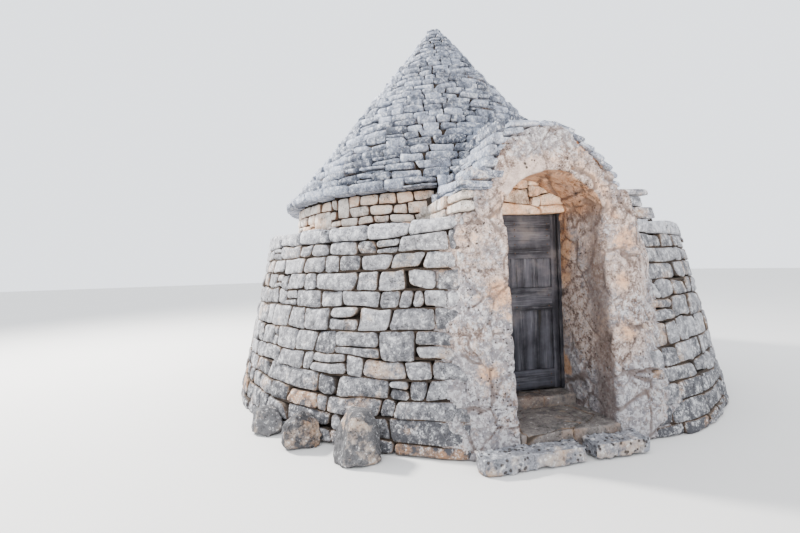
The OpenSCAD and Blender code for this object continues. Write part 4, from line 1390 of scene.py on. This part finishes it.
@dataclass
class Portal:
    """The plastered portal: piers, gable and vault as one worn body, with plaster fading over the wall."""

    voxel: float = 0.0185
    fade: float = 0.30
    rubble: float = 0.30
    small_rubble: float = 0.15
    seam: float = 0.020
    crack: float = 0.026
    crack_deep: float = 0.030
    band_z: float = 1.76
    band_r: float = 0.52
    smooth_z: float = 1.72
    smooth_r: float = 0.60
    cap_edge: Sequence[Sequence[float]] = (
        (2.03, -0.57), (2.05, -0.53), (2.25, -0.445), (2.50, -0.375), (2.60, -0.33))
    shoulder_x: float = -0.655
    slope_x: float = 0.655
    slope_z: float = 2.10
    slope: float = 2.2
    earth_patches: Sequence[Sequence[float]] = (
        (-0.74, 1.62, 0.20), (-1.00, 1.36, 0.16), (-0.50, 1.28, 0.14), (0.63, 1.66, 0.17), (0.60, 0.85, 0.15),
        (0.30, 2.36, 0.07), (-0.62, 0.62, 0.12), (0.58, 1.30, 0.10))
    beds: Sequence[Sequence[float]] = (
        (-0.95, 1.738, -0.63, 1.78), (-0.89, 1.73, -0.865, 1.585), (-0.98, 1.442, -0.86, 1.44),
        (-0.98, 1.25, -0.88, 1.24), (-0.925, 1.24, -0.91, 1.11), (-0.99, 0.986, -0.86, 0.986),
        (-1.0, 0.78, -0.90, 0.78), (-0.80, 2.034, -0.53, 2.046), (0.205, 2.22, 0.379, 2.141),
        (0.379, 2.141, 0.401, 2.05), (0.444, 2.25, 0.60, 2.20), (0.50, 2.13, 0.63, 2.10),
        (0.602, 1.967, 0.74, 1.83), (0.60, 1.50, 0.80, 1.48), (0.62, 0.92, 0.84, 0.90),
        (0.60, 0.55, 0.86, 0.55))
    grey_patches: Sequence[Sequence[float]] = (
        (-0.66, 1.08, 0.20), (-0.60, 1.98, 0.13), (0.58, 1.98, 0.13), (-0.14, 2.42, 0.16), (0.66, 1.15, 0.16),
        (-0.58, 0.30, 0.30), (0.62, 0.35, 0.30))

    def apron(self, side: int) -> bpy.types.Object:
        """The plaster that runs on over the wall beside the portal and sinks between its stones."""
        piece = Bench.fresh(bpy.ops.mesh.primitive_grid_add, x_subdivisions=18, y_subdivisions=60, size=2.0)
        with Bench.editing():
            bpy.ops.mesh.extrude_region_move(TRANSFORM_OT_translate={"value": (0, 0, -1.0)})
            bpy.ops.mesh.select_all(action="SELECT")
            bpy.ops.mesh.normals_make_consistent(inside=False)
        points = Bench.points(piece)
        share = (points[:, 0] + 1) / 2
        away = share if side > 0 else 1 - share
        start = 0.0 if side > 0 else RING.total
        s = start + side * (away * (self.fade + 0.10) - 0.10)
        z = 0.004 + (points[:, 1] + 1) / 2 * (HOUSE.wall_h - 0.006)
        spot = np.stack([s, z, np.zeros_like(s)], axis=1)
        edge = np.clip((away - 0.25) * 1.25 + Haze(8).rough(spot, 0.35, 3) * 0.45, 0.0, 1.0)
        sink = 0.004 + 0.05 * edge * edge * (3 - 2 * edge)
        back = points[:, 2] < -0.5
        Bench.move(piece, RING.place(s, z, np.where(back, 0.11, sink)))
        return piece

    def marks(self, points: np.ndarray, seams: np.ndarray) -> np.ndarray:
        """Where the plaster is washed grey; orange with earth, and with painted patches of light; and
        stained, and painted with shade inside the niche and in its seams and cracks.
        """
        x, y, z = points.T
        soft = Haze(15).rough(points, 0.30, 3)
        patch = Haze(16).rough(points, 0.50, 2)
        front = HOUSE.front_at(z)
        low, head = ramp(z, 0.85, -0.4), ramp(z, 2.2, 0.2)
        ring = np.hypot(x - HOUSE.portal_x, z - self.band_z)
        band = np.exp(-((ring - self.band_r) / 0.07) ** 2) * (z > 1.8)
        wash = 0.42 + 0.5 * soft + 0.62 * low + 0.15 * head - 0.5 * band
        inside = (y > front + 0.03) & (x > HOUSE.niche_l - 0.05) & (x < HOUSE.niche_r + 0.05)
        red, grey = (sum(np.exp(-((x - px) ** 2 + (z - pz) ** 2) / size ** 2) for px, pz, size in spots)
                     for spots in (self.earth_patches, self.grey_patches))
        wash = wash + 0.45 * grey - 0.3 * red
        mid = near(np.abs(z - 1.35), 0.6)
        vault_earth = ramp(z, 1.72, 0.25) * (0.8 + 0.5 * soft)
        face_earth = 0.05 + 0.45 * patch * (0.4 + mid) + 0.4 * band + 0.5 * red
        earth_and_light = np.where(inside & (z > 1.75), vault_earth, face_earth)
        # Painted light: two bright orange patches on the right reveal beside the door.
        painted_light_spots = ((1.66, 0.22), (0.47, 0.13))
        inner = sum(np.exp(-((y + 2.21) / 0.08) ** 2 - ((z - pz) / size) ** 2) for pz, size in painted_light_spots)
        inner = inner * (1.0 + 0.8 * Haze(17).rough(points, 0.13, 3))
        earth_and_light = earth_and_light + np.where(inside & (x > 0.3), 0.9 * inner, 0.0)
        right = inside & (x > HOUSE.portal_x) & (z < 2.0)
        streak = np.exp(-((y - front - 0.16 - 0.03 * soft) / 0.09) ** 2)
        # Painted shade: the whole inside of the niche is darkened; outside, this mark grows towards the
        # bottom.
        stain_and_shade = np.where(inside, 0.35, 0.26 * low)
        # On the right reveal: a stain band, over the niche's painted shade.
        stain_and_shade = np.where(right, streak * np.clip(2.0 - z, 0.3, 0.95) + 0.32, stain_and_shade)
        # Painted shade along the seams between the rubble stones.
        stain_and_shade = stain_and_shade + 1.0 * np.clip(0.013 - seams, 0, 1) / 0.013
        calm = self.smooth_band(points) * (y < front + 0.04)
        crack = near(self.cracks(points), self.crack) * (y < front + 0.10)
        # Painted shade in the open bed joints.
        stain_and_shade = np.where(calm > 0.4, 0.0, stain_and_shade) + 1.4 * crack
        return np.clip(np.stack([wash, earth_and_light, stain_and_shade, calm], axis=1), 0, 1)

    def smooth_band(self, points: np.ndarray) -> np.ndarray:
        """How much of the smooth newer plaster lies at a point: over the left half of the arch."""
        x, _, z = points.T
        across, up = x - HOUSE.portal_x, z - self.smooth_z
        ring = np.hypot(across, up) + Haze(33).rough(points, 0.12, 3) * 0.022
        turn = np.arctan2(across, up)
        across = ramp(ring, self.smooth_r, -0.03)
        return across * ramp(turn, -0.10, -0.07) * ramp(turn, -1.05, 0.10)

    def cracks(self, points: np.ndarray) -> np.ndarray:
        """Distance to the nearest open bed joint in the front's plaster."""
        sway = np.stack([Haze(34).at(points, 0.09), Haze(35).at(points, 0.07)], axis=1)
        flat = points[:, (0, 2)] + sway * 0.012
        nearest = np.full(len(points), 1.0)
        for ax, az, bx, bz in self.beds:
            start, run = np.array((ax, az)), np.array((bx - ax, bz - az))
            share = np.clip(((flat - start) @ run) / (run @ run), 0, 1)
            nearest = np.minimum(nearest, np.linalg.norm(flat - start - share[:, None] * run, axis=1))
        return nearest

    def rubble_relief(self, points: np.ndarray) -> tuple[np.ndarray, np.ndarray]:
        """Relief of the rubble that shows through the plaster, and the distance to its seams."""
        x, _, z = points.T
        seams, owner = Haze(21).cells(points + Haze(22).at(points, 0.2)[:, None] * 0.05, self.rubble)
        relief = Haze(9).rough(points, 0.30, 3) * 0.010 + Haze(10).rough(points, 0.085, 3) * 0.0075
        relief += (owner - 0.5) * 0.024 - 0.016 * near(seams, self.seam)
        moved = points + Haze(32).at(points, 0.1)[:, None] * 0.03
        small, bump = Haze(31).cells(moved, self.small_rubble)
        stony = ramp(x, -0.42, -0.08) * (z > 1.80) + ramp(x, 0.40, 0.08) * (z > 1.75)
        relief += stony * ((bump - 0.5) * 0.022 - 0.012 * near(small, self.seam))
        return relief, np.where(stony > 0.4, np.minimum(seams, small), seams)

    def wear(self, points: np.ndarray, relief: np.ndarray) -> np.ndarray:
        """Calm the relief under smooth plaster, open the joints and set the face back where stones cap it."""
        x, y, z = points.T
        front = HOUSE.front_at(z)
        calm = self.smooth_band(points) * (y < front + 0.04)
        relief = relief * (1 - 0.75 * calm) + 0.010 * calm
        relief -= self.crack_deep * near(self.cracks(points), self.seam) * (y < front + 0.10)
        across, up = x - HOUSE.portal_x, z - HOUSE.gable_mid_z
        turn = np.arctan2(across, up)
        round_head = np.hypot(across, up) > HOUSE.gable_r - 0.12
        relief -= np.where(round_head & (z > 2.0), 0.06 * np.exp(-((turn - 0.75) / 0.30) ** 2), 0.0)
        heights, edges = zip(*self.cap_edge)
        under_cap = ramp(x, np.interp(z, heights, edges), -0.03)
        relief -= np.where(z > heights[0], 0.045 * under_cap, 0.0)
        relief -= np.where((z > 1.86) & (z < 2.05), 0.05 * ramp(x, self.shoulder_x, -0.02), 0.0)
        return relief

    def build(self, finishes: "Finishes") -> None:
        """Build the body: solids joined, remeshed, worn and marked."""
        nodes = ["portal_left_pier", "portal_right_pier", "portal_gable", "portal_vault"]
        body = Bench.copy("portal_body", *nodes)
        body = join("portal_plasterwork", body, self.apron(-1), self.apron(1))
        Bench.apply(body, "REMESH", mode="VOXEL", voxel_size=self.voxel)
        Bench.apply(body, "SMOOTH", factor=0.5, iterations=3)
        points, normals = Bench.points(body), Bench.points(body, True)
        x, y, z = points.T
        outside = ramp(y, HOUSE.front_at(z) + 0.75, -0.1)
        relief, seams = self.rubble_relief(points)
        relief = self.wear(points, relief)
        points = points + normals * (relief * outside)[:, None]
        slope = self.slope_z - (x - self.slope_x) * self.slope + relief
        points[:, 2] = np.minimum(points[:, 2], np.where(x > self.slope_x, slope, HOUSE.tip_z))
        points[:, 2] = np.maximum(points[:, 2], 0.0)
        Bench.move(body, points)
        Bench.mark(body, self.marks(points, seams))
        Bench.soften(body, 75.0)
        Bench.finish(Bench.paint(body, finishes.plaster), Body.HOUSE, "portal_plaster", nodes)


@dataclass
class DoorHead:
    """The stones over the door: two lintels with a broken joint, and rubble that fills the arch."""

    lintels: Sequence[Quad] = (
        ((-0.50, 1.922), (0.215, 1.916), (0.185, 1.985), (-0.50, 2.025)),
        ((0.222, 1.916), (0.50, 1.925), (0.49, 1.99), (0.20, 1.985)))
    rubble: Sequence[tuple] = (
        ((-0.50, 2.03), (-0.13, 2.03), (-0.12, 2.15), (-0.50, 2.15), 1.0, 0.5),
        ((-0.13, 2.02), (0.125, 2.00), (0.12, 2.16), (-0.10, 2.14), 0.35, 0.35),
        ((0.13, 1.99), (0.225, 1.985), (0.23, 2.085), (0.13, 2.075), 0.7, 1.0),
        ((0.23, 1.99), (0.49, 1.995), (0.48, 2.10), (0.235, 2.10), 1.3, 0.9),
        ((0.24, 2.105), (0.45, 2.105), (0.42, 2.15), (0.30, 2.16), 1.2, 1.0),
        ((0.125, 2.08), (0.235, 2.09), (0.30, 2.165), (0.12, 2.19), 0.6, 0.4),
        ((-0.50, 2.15), (-0.10, 2.15), (-0.08, 2.27), (-0.50, 2.27), 0.9, 0.6),
        ((-0.10, 2.15), (0.12, 2.165), (0.11, 2.28), (-0.08, 2.28), 1.3, 0.6),
        ((0.12, 2.19), (0.42, 2.155), (0.36, 2.23), (0.11, 2.28), 1.3, 0.8))

    def place(self, x: np.ndarray, z: np.ndarray, depth: np.ndarray) -> np.ndarray:
        """Points on the head wall's face."""
        return np.stack([x, -HOUSE.head_y + depth - 0.004, z], axis=1)

    def build(self, stock: StoneStock, finishes: "Finishes") -> None:
        """Build the lintels and the wall in the arch."""
        mason = Mason(stock, 91, joint=0.004, rounding=0.016, rough=0.020, tilt=0.012, chips=0.0)
        for corners in self.lintels:
            mason.lay(Slot(np.array(corners), 0.0, 0.19, 1.3, 0.7, 0.5, (-0.010, 0.012)), self.place)
        lintels = mason.pile("door_lintel_stones", finishes.head)
        Bench.finish(lintels, Body.HOUSE, "warm_stone", ["door_lintels"])
        mason = Mason(stock, 92, joint=0.006, rounding=0.012, rough=0.016, tilt=0.034, warp=0.014, chips=0.0)
        for *corners, warm, tone in self.rubble:
            slot = Slot(np.array(corners), mason.luck.uniform(0.0, 0.02), 0.12, warm, tone, 0.7)
            mason.lay(slot, self.place)
        core = Bench.paint(Bench.copy("door_head_wall", "door_head_wall"), finishes.mortar)
        points = Bench.points(core)
        points[:, 1] = np.where(points[:, 1] < -HOUSE.head_y + 0.01, points[:, 1] + 0.07, points[:, 1])
        points[:, 0] = HOUSE.portal_x + (points[:, 0] - HOUSE.portal_x) * 0.72
        points[:, 2] = np.where(points[:, 2] > 2.03, 2.03 + (points[:, 2] - 2.03) * 0.7, points[:, 2])
        Bench.move(core, points)
        wall = mason.pile("door_head_stones", finishes.head)
        Bench.finish(join("door_head_stones", wall, core), Body.HOUSE, "warm_stone", ["door_head_wall"])


@dataclass
class ShoulderBlocks:
    """Three courses of blocks that step down on the wall's top, right of the portal."""

    front_y: float = 2.445
    rows: Sequence[tuple[float, float, Sequence[float]]] = (
        (1.84, 1.955, (0.77, 0.93, 1.09, 1.30)), (1.955, 2.06, (0.75, 0.90, 1.19)),
        (2.06, 2.122, (0.72, 0.93, 1.23)))

    def build(self, stock: StoneStock, finishes: "Finishes") -> None:
        """Build the blocks."""
        mason = Mason(stock, 95, joint=0.006, rounding=0.015, rough=0.010, tilt=0.02)
        place = lambda x, z, depth: np.stack([x, depth - self.front_y, z], axis=1)
        for low, high, cuts in self.rows:
            for a, b in zip(cuts, cuts[1:]):
                corners = np.array([[a, low], [b, low], [b - 0.01, high], [a, high]])
                inset, warm = mason.luck.uniform(0.0, 0.02), mason.luck.choice([0.1, 0.8])
                mason.lay(Slot(corners, inset, 0.31, warm, rim=0.3), place)
        blocks = mason.pile("shoulder_stones", finishes.coping)
        Bench.finish(blocks, Body.HOUSE, "coping_stone", ["shoulder_blocks"])


@dataclass
class WornBlocks:
    """Slabs and boulders worn from their plain solids: remeshed, rounded and roughened."""

    name: str
    node: str
    slot: str
    voxel: float
    wear: float
    warm: float
    seed: int
    seam: float = 0.0
    cuts: int = 0

    def chop(self, piece: bpy.types.Object) -> bpy.types.Object:
        """Break flat faces off each loose stone of the piece."""
        Bench.take(piece)
        with Bench.editing():
            bpy.ops.mesh.subdivide(number_cuts=3)
            bpy.ops.mesh.separate(type="LOOSE")
        stones = list(bpy.context.selected_objects)
        luck = np.random.RandomState(self.seed)
        for stone in stones:
            points = Bench.points(stone)
            middle = (points.min(axis=0) + points.max(axis=0)) / 2
            for _ in range(self.cuts):
                way = luck.normal(size=3) * (1, 1, 0.7)
                way[2] = abs(way[2])
                way /= np.linalg.norm(way)
                out = (points - middle) @ way
                over = np.maximum(out - out.max() * luck.uniform(0.72, 0.90), 0)
                points = points - over[:, None] * way
            Bench.move(stone, points)
        return join(self.name, stones[0], *stones[1:])

    def build(self, material: bpy.types.Material) -> None:
        """Build the piece in its solid's place."""
        piece = Bench.copy(self.name, self.node)
        piece = self.chop(piece) if self.cuts else piece
        Bench.apply(piece, "REMESH", mode="VOXEL", voxel_size=self.voxel)
        Bench.apply(piece, "SMOOTH", factor=0.5, iterations=4)
        points, normals = Bench.points(piece), Bench.points(piece, True)
        haze = Haze(self.seed)
        relief = haze.rough(points, 0.16, 3) * self.wear + haze.rough(points + 5, 0.04, 2) * self.wear * 0.35
        relief = relief - self.wear * 0.8 + (haze.cells(points, 0.17)[1] - 0.8) * self.wear * 0.9
        seams = np.full(len(points), 1.0)
        if self.seam:
            seams, _ = haze.cells((points + haze.at(points, 0.2)[:, None] * 0.05) * (1, 1, 0.3), self.seam)
            relief -= 0.010 * near(seams, 0.016)
        points = points + normals * relief[:, None]
        lo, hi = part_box(self.node)
        points = np.clip(points, np.array(lo), np.array(hi))
        Bench.move(piece, points)
        foot = np.clip(0.6 - points[:, 2] * 12, 0, 0.5) * (lo.z < 0.01)
        rim = np.maximum(foot, near(seams, 0.02))
        ahead = normals[:, 1] < -0.6
        tone = 0.55 + 0.35 * haze.rough(points, 0.4, 2) + 0.25 * ahead
        warm = self.warm + 0.25 * haze.rough(points + 9, 0.25, 2) + 0.8 * ahead
        Bench.mark(piece, np.clip(np.stack([tone, warm, rim], axis=1), 0, 1))
        Bench.soften(piece, 70.0)
        Bench.finish(Bench.paint(piece, material), Body.HOUSE, self.slot, [self.node])


@dataclass
class Ledge:
    """Earth and rubble on the ledge between the coping and the drum."""

    pebbles: int = 520

    def build(self, stock: StoneStock, finishes: "Finishes") -> None:
        """Build the earth and scatter small stones on it."""
        piece = Bench.copy("ledge_earth", "ledge_fill")
        Bench.apply(piece, "REMESH", mode="VOXEL", voxel_size=0.030)
        points = Bench.points(piece)
        top = points[:, 2] > HOUSE.ledge_z - 0.03
        lumps = Haze(51).rough(points, 0.22, 3) * 0.018 + Haze(54).rough(points, 0.06, 2) * 0.010 - 0.004
        points[:, 2] += top * lumps
        Bench.move(piece, points)
        Bench.soften(piece, 70.0)
        Bench.paint(piece, finishes.ledge)
        luck = np.random.RandomState(52)
        mason = Mason(stock, 53, joint=0.0, rounding=0.02, rough=0.006, tilt=0.0)
        off = np.array(RING.centre)
        for _ in range(self.pebbles):
            turn, size = luck.uniform(0, 2 * math.pi), 0.022 + 0.085 * luck.rand() ** 2
            ray = np.array([math.cos(turn), math.sin(turn)])
            along, inner = ray @ off, HOUSE.drum_r + size
            outer = along + math.sqrt(along ** 2 - off @ off + HOUSE.coping_in_r ** 2)
            spot = ray * luck.uniform(inner, max(outer - 0.02, inner + 0.01))
            if abs(spot[0] - HOUSE.portal_x) < 0.85 and spot[1] < -1.9:
                continue
            spin = luck.uniform(0, 2 * math.pi)
            across = np.array([math.cos(spin), math.sin(spin)])
            forth = np.array([-across[1], across[0]])
            place = lambda s, t, depth: np.column_stack([spot + np.outer(s, across) + np.outer(t, forth),
                                                         HOUSE.ledge_z + size * 0.45 - depth])
            corners = np.array([[-1, -0.8], [1, -0.7], [0.9, 0.8], [-1, 0.7]]) * (size / 2)
            mason.lay(Slot(corners, 0.0, size * 0.7, luck.uniform(0.1, 0.7)), place)
        stones = mason.pile("ledge_rubble", finishes.coping)
        Bench.finish(join("ledge_rubble", stones, piece), Body.HOUSE, "ledge_earth", ["ledge_fill"])


@dataclass
class Door:
    """The plank door in its posts: bevelled boards, nails, and forged hinges."""

    bevel: float = 0.0035
    nail_r: float = 0.007

    def boards(self, name: str, node: str, material: bpy.types.Material, body: Body, seed: int,
               slack: float) -> None:
        """Make boards from their plain solid, with worn edges and a little play."""
        piece = Bench.copy(name, node)
        with Bench.editing():
            bpy.ops.mesh.dissolve_limited(angle_limit=math.radians(2))
        Bench.apply(piece, "BEVEL", width=self.bevel, segments=2, limit_method="ANGLE")
        with Bench.editing():
            bpy.ops.mesh.subdivide(number_cuts=5)
        points = Bench.points(piece)
        haze = Haze(seed)
        points[:, 1] += haze.rough(points * (1, 1, 0.35), 0.10, 2) * slack
        points[:, 0] += haze.at(points + 4, 0.07) * slack * 0.5
        points[:, 2] += haze.at(points + 8, 0.05) * slack * 0.5
        Bench.move(piece, points)
        Bench.soften(piece, 35.0)
        Bench.finish(Bench.paint(piece, material), body, "door_wood", [node])

    def nails(self, finishes: "Finishes") -> None:
        """Nail heads in two columns on the horizontal boards and rails."""
        made = []
        lo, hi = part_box("door_top_boards")
        low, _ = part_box("door_rails")
        rows = [lo.z + rise for rise in (0.05, 0.13, 0.21, 0.27)]
        for z in (*rows, hi.z - 0.08, low.z + 0.05, low.z + 0.13, 1.05, 1.15):
            for x in (lo.x + 0.035, (lo.x + hi.x) / 2 - 0.03, hi.x - 0.035):
                spot = (x, -HOUSE.door_y, z)
                made.append(Bench.fresh(bpy.ops.mesh.primitive_uv_sphere_add, segments=10, ring_count=6,
                                        radius=self.nail_r, location=spot))
                bpy.ops.transform.resize(value=(1, 0.45, 1), center_override=spot)
                bpy.ops.object.transform_apply(location=True, scale=True)
        nails = join("door_nails", *made)
        Bench.soften(nails, 60.0)
        Bench.finish(Bench.paint(nails, finishes.iron), Body.DOOR, "hinge_iron")

    def hinges(self, name: str, node: str, body: Body, finishes: "Finishes") -> None:
        """Forged pieces with softened edges."""
        piece = Bench.copy(name, node)
        Bench.apply(piece, "BEVEL", width=0.0012, segments=2, limit_method="ANGLE",
                    angle_limit=math.radians(40))
        Bench.soften(piece, 30.0)
        Bench.finish(Bench.paint(piece, finishes.iron), body, "hinge_iron", [node])

    def build(self, finishes: "Finishes") -> None:
        """Build the leaf, the posts and the hinges."""
        upright, level = finishes.upright_wood, finishes.level_wood
        self.boards("door_post_timbers", "door_posts", upright, Body.HOUSE, 81, 0.002)
        self.boards("door_stile_timbers", "door_stiles", upright, Body.DOOR, 82, 0.002)
        self.boards("door_rail_timbers", "door_rails", level, Body.DOOR, 83, 0.003)
        self.boards("door_top_timbers", "door_top_boards", level, Body.DOOR, 84, 0.003)
        self.boards("door_upright_timbers", "door_upright_boards", upright, Body.DOOR, 85, 0.002)
        self.nails(finishes)
        self.hinges("pintle_irons", "hinge_pintles", Body.HOUSE, finishes)
        self.hinges("strap_irons", "door_straps", Body.DOOR, finishes)


class Finishes:
    """All the materials, each made once."""

    def __init__(self) -> None:
        """Make the materials."""
        stone = lambda name, dark, light, **more: StoneFinish(name, dark, light, **more).dress()
        self.ring = stone("ring_stone", (0.065, 0.065, 0.072), (0.37, 0.365, 0.38))
        self.coping = stone("coping_stone", (0.10, 0.10, 0.11), (0.50, 0.50, 0.53), lichen_share=0.57)
        self.slab = stone("roof_slab", (0.07, 0.078, 0.10), (0.37, 0.405, 0.49), warm_share=0.62,
                          lichen_share=0.585)
        # joint= gives the colour of the painted shade in these stones' joints.
        self.warm = stone("warm_stone", (0.27, 0.235, 0.205), (0.80, 0.725, 0.65), cream=(0.80, 0.58, 0.42),
                          warm=(0.60, 0.27, 0.11), warm_share=0.34, joint=(0.13, 0.06, 0.032))
        self.head = stone("head_stone", (0.22, 0.165, 0.13), (0.72, 0.585, 0.48), cream=(0.80, 0.53, 0.34),
                          warm=(0.50, 0.22, 0.09), warm_share=0.33, lichen_share=0.62,
                          joint=(0.07, 0.035, 0.02), edge=(0.40, 0.19, 0.08))
        self.boulder = stone("boulder_stone", (0.035, 0.034, 0.036), (0.15, 0.147, 0.152), lichen_share=0.65)
        self.floor = stone("floor_stone", (0.05, 0.046, 0.044), (0.22, 0.195, 0.18), lichen_share=0.70,
                           cream=(0.25, 0.19, 0.155), warm=(0.20, 0.11, 0.065))
        self.step = stone("step_stone", (0.055, 0.057, 0.064), (0.30, 0.305, 0.335), lichen_share=0.62,
                          cream=(0.46, 0.385, 0.31), warm_share=0.40, pit_size=0.30, pit_share=0.42,
                          pit_scale=27.0)
        self.plaster = PlasterFinish().dress()
        self.upright_wood = WoodFinish("door_wood", True).dress()
        self.level_wood = WoodFinish("door_wood_level", False).dress()
        self.iron = IronFinish().dress()
        self.mortar = EarthFinish("joint_mortar", (0.014, 0.011, 0.009), (0.055, 0.038, 0.027),
                                  (0.10, 0.08, 0.06)).dress()
        self.ledge = EarthFinish("ledge_earth", (0.07, 0.055, 0.042), (0.30, 0.25, 0.20),
                                 (0.42, 0.41, 0.39)).dress()
        self.inside = MasonryFinish("inner_stone").dress()
        self.paving = MasonryFinish("room_paving", (0.28, 0.25, 0.21), (0.52, 0.47, 0.40), 0.42, 0.55,
                                    True).dress()


@dataclass(frozen=True)
class Studio:
    """The pale floor, the soft lights and the camera at the photograph's place."""

    yaw: float = 0.2366
    pitch: float = 0.0042
    roll: float = -0.0303
    eye: tuple[float, float, float] = (-2.0215, -5.9258, 1.4442)
    sensor: float = 36.0
    lens_share: float = 445.2933 / 800

    def camera(self) -> None:
        """Set up the camera."""
        ahead = Vector((math.sin(self.yaw), math.cos(self.yaw), 0))
        right = Vector((math.cos(self.yaw), -math.sin(self.yaw), 0))
        up = Vector((0, 0, 1))
        view = ahead * math.cos(self.pitch) + up * math.sin(self.pitch)
        above = up * math.cos(self.pitch) - ahead * math.sin(self.pitch)
        side = right * math.cos(self.roll) + above * math.sin(self.roll)
        top = above * math.cos(self.roll) - right * math.sin(self.roll)
        data = bpy.data.cameras.new("photo_view")
        data.sensor_width, data.lens = self.sensor, self.lens_share * self.sensor
        camera = bpy.data.objects.new("photo_view", data)
        turn = Matrix((side, top, -view)).transposed().to_4x4()
        camera.matrix_world = Matrix.Translation(Vector(self.eye)) @ turn
        bpy.context.scene.collection.objects.link(camera)
        bpy.context.scene.camera = camera

    def floor(self) -> None:
        """Lay the pale floor, which isn't part of the house."""
        floor = Bench.fresh(bpy.ops.mesh.primitive_plane_add, size=120.0, location=(0, 0, -0.002))
        floor.name = "studio_floor"
        sheet = Sheet("studio_floor")
        tone = sheet.noise(0.8, 2.0)
        pale = sheet.mix(tone, (0.66, 0.65, 0.63), (0.70, 0.69, 0.67))
        Bench.paint(floor, sheet.shade(pale, 0.9, tone, 0.001))

    def light(self, name: str, place: tuple, aim: tuple, size: float, power: float, colour: Colour,
              spread: float = 180.0) -> None:
        """Hang one soft area light, whose beam may be narrowed."""
        data = bpy.data.lights.new(name, "AREA")
        data.shape, data.size, data.energy, data.color = "DISK", size, power, colour
        data.spread = math.radians(spread)
        lamp = bpy.data.objects.new(name, data)
        lamp.location = place
        lamp.rotation_euler = (Vector(aim) - Vector(place)).to_track_quat("-Z", "Y").to_euler()
        bpy.context.scene.collection.objects.link(lamp)

    def build(self) -> None:
        """Set up view, floor, lights and a pale sky."""
        self.camera()
        self.floor()
        self.light("sky_fill", (-5.5, -9.0, 7.5), (0, 0, 1.6), 7.0, 260.0, (1.0, 0.99, 0.98))
        self.light("high_sun", (-8.5, 4.0, 8.5), (0, -0.5, 1.8), 1.5, 5200.0, (1.0, 0.975, 0.94))
        self.light("right_fill", (9.0, -4.0, 5.0), (0, 0, 1.2), 6.0, 200.0, (1.0, 0.98, 0.96))
        self.light("ground_glow", (-0.7, -6.6, 0.7), (0.12, -2.3, 2.15), 1.6, 16.0, (1.0, 0.87, 0.74), 32.0)
        world = bpy.data.worlds.new("pale_sky")
        world.use_nodes = True
        back = world.node_tree.nodes["Background"]
        back.inputs["Color"].default_value = (0.90, 0.94, 1.0, 1.0)
        back.inputs["Strength"].default_value = 2.4
        bpy.context.scene.world = world


def dress_plain(finishes: Finishes) -> None:
    """Give the solids that stay as they are their finishes."""
    for node in ("dome_lower", "dome_middle", "dome_upper", "dome_closing_slab", "passage_lintels"):
        Bench.paint(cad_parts[node], finishes.inside)
    Bench.paint(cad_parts["room_floor"], finishes.paving)


def main() -> None:
    """Build the dressed house in order."""
    logging.basicConfig(level=logging.INFO, format="%(name)s: %(message)s")
    finishes = Finishes()
    blocks = StoneStock(5, 4, 8, 3)
    slabs = StoneStock(4, 2, 8, 40)
    pebbles = StoneStock(2, 2, 4, 70)
    for part, stock in ((RingWall(), blocks), (Coping(), blocks), (Drum(), slabs), (Roof(), slabs),
                        (PortalRoof(), slabs)):
        part.build(stock, finishes)
    Portal().build(finishes)
    DoorHead().build(blocks, finishes)
    ShoulderBlocks().build(blocks, finishes)
    floor, step, boulder = finishes.floor, finishes.step, finishes.boulder
    WornBlocks("threshold_stones", "threshold_slabs", "floor_stone", 0.013, 0.017, 0.1, 61).build(step)
    WornBlocks("niche_floor_slabs", "niche_floor", "floor_stone", 0.014, 0.006, 0.35, 62, 0.36).build(floor)
    WornBlocks("sill_stone", "door_sill", "floor_stone", 0.014, 0.008, 0.6, 63, 0.42).build(floor)
    WornBlocks("boulder_stones", "foot_boulders", "coping_stone", 0.018, 0.012, 0.35, 64,
               cuts=16).build(boulder)
    Ledge().build(pebbles, finishes)
    Door().build(finishes)
    dress_plain(finishes)
    Studio().build()


if __name__ == "__main__":
    main()
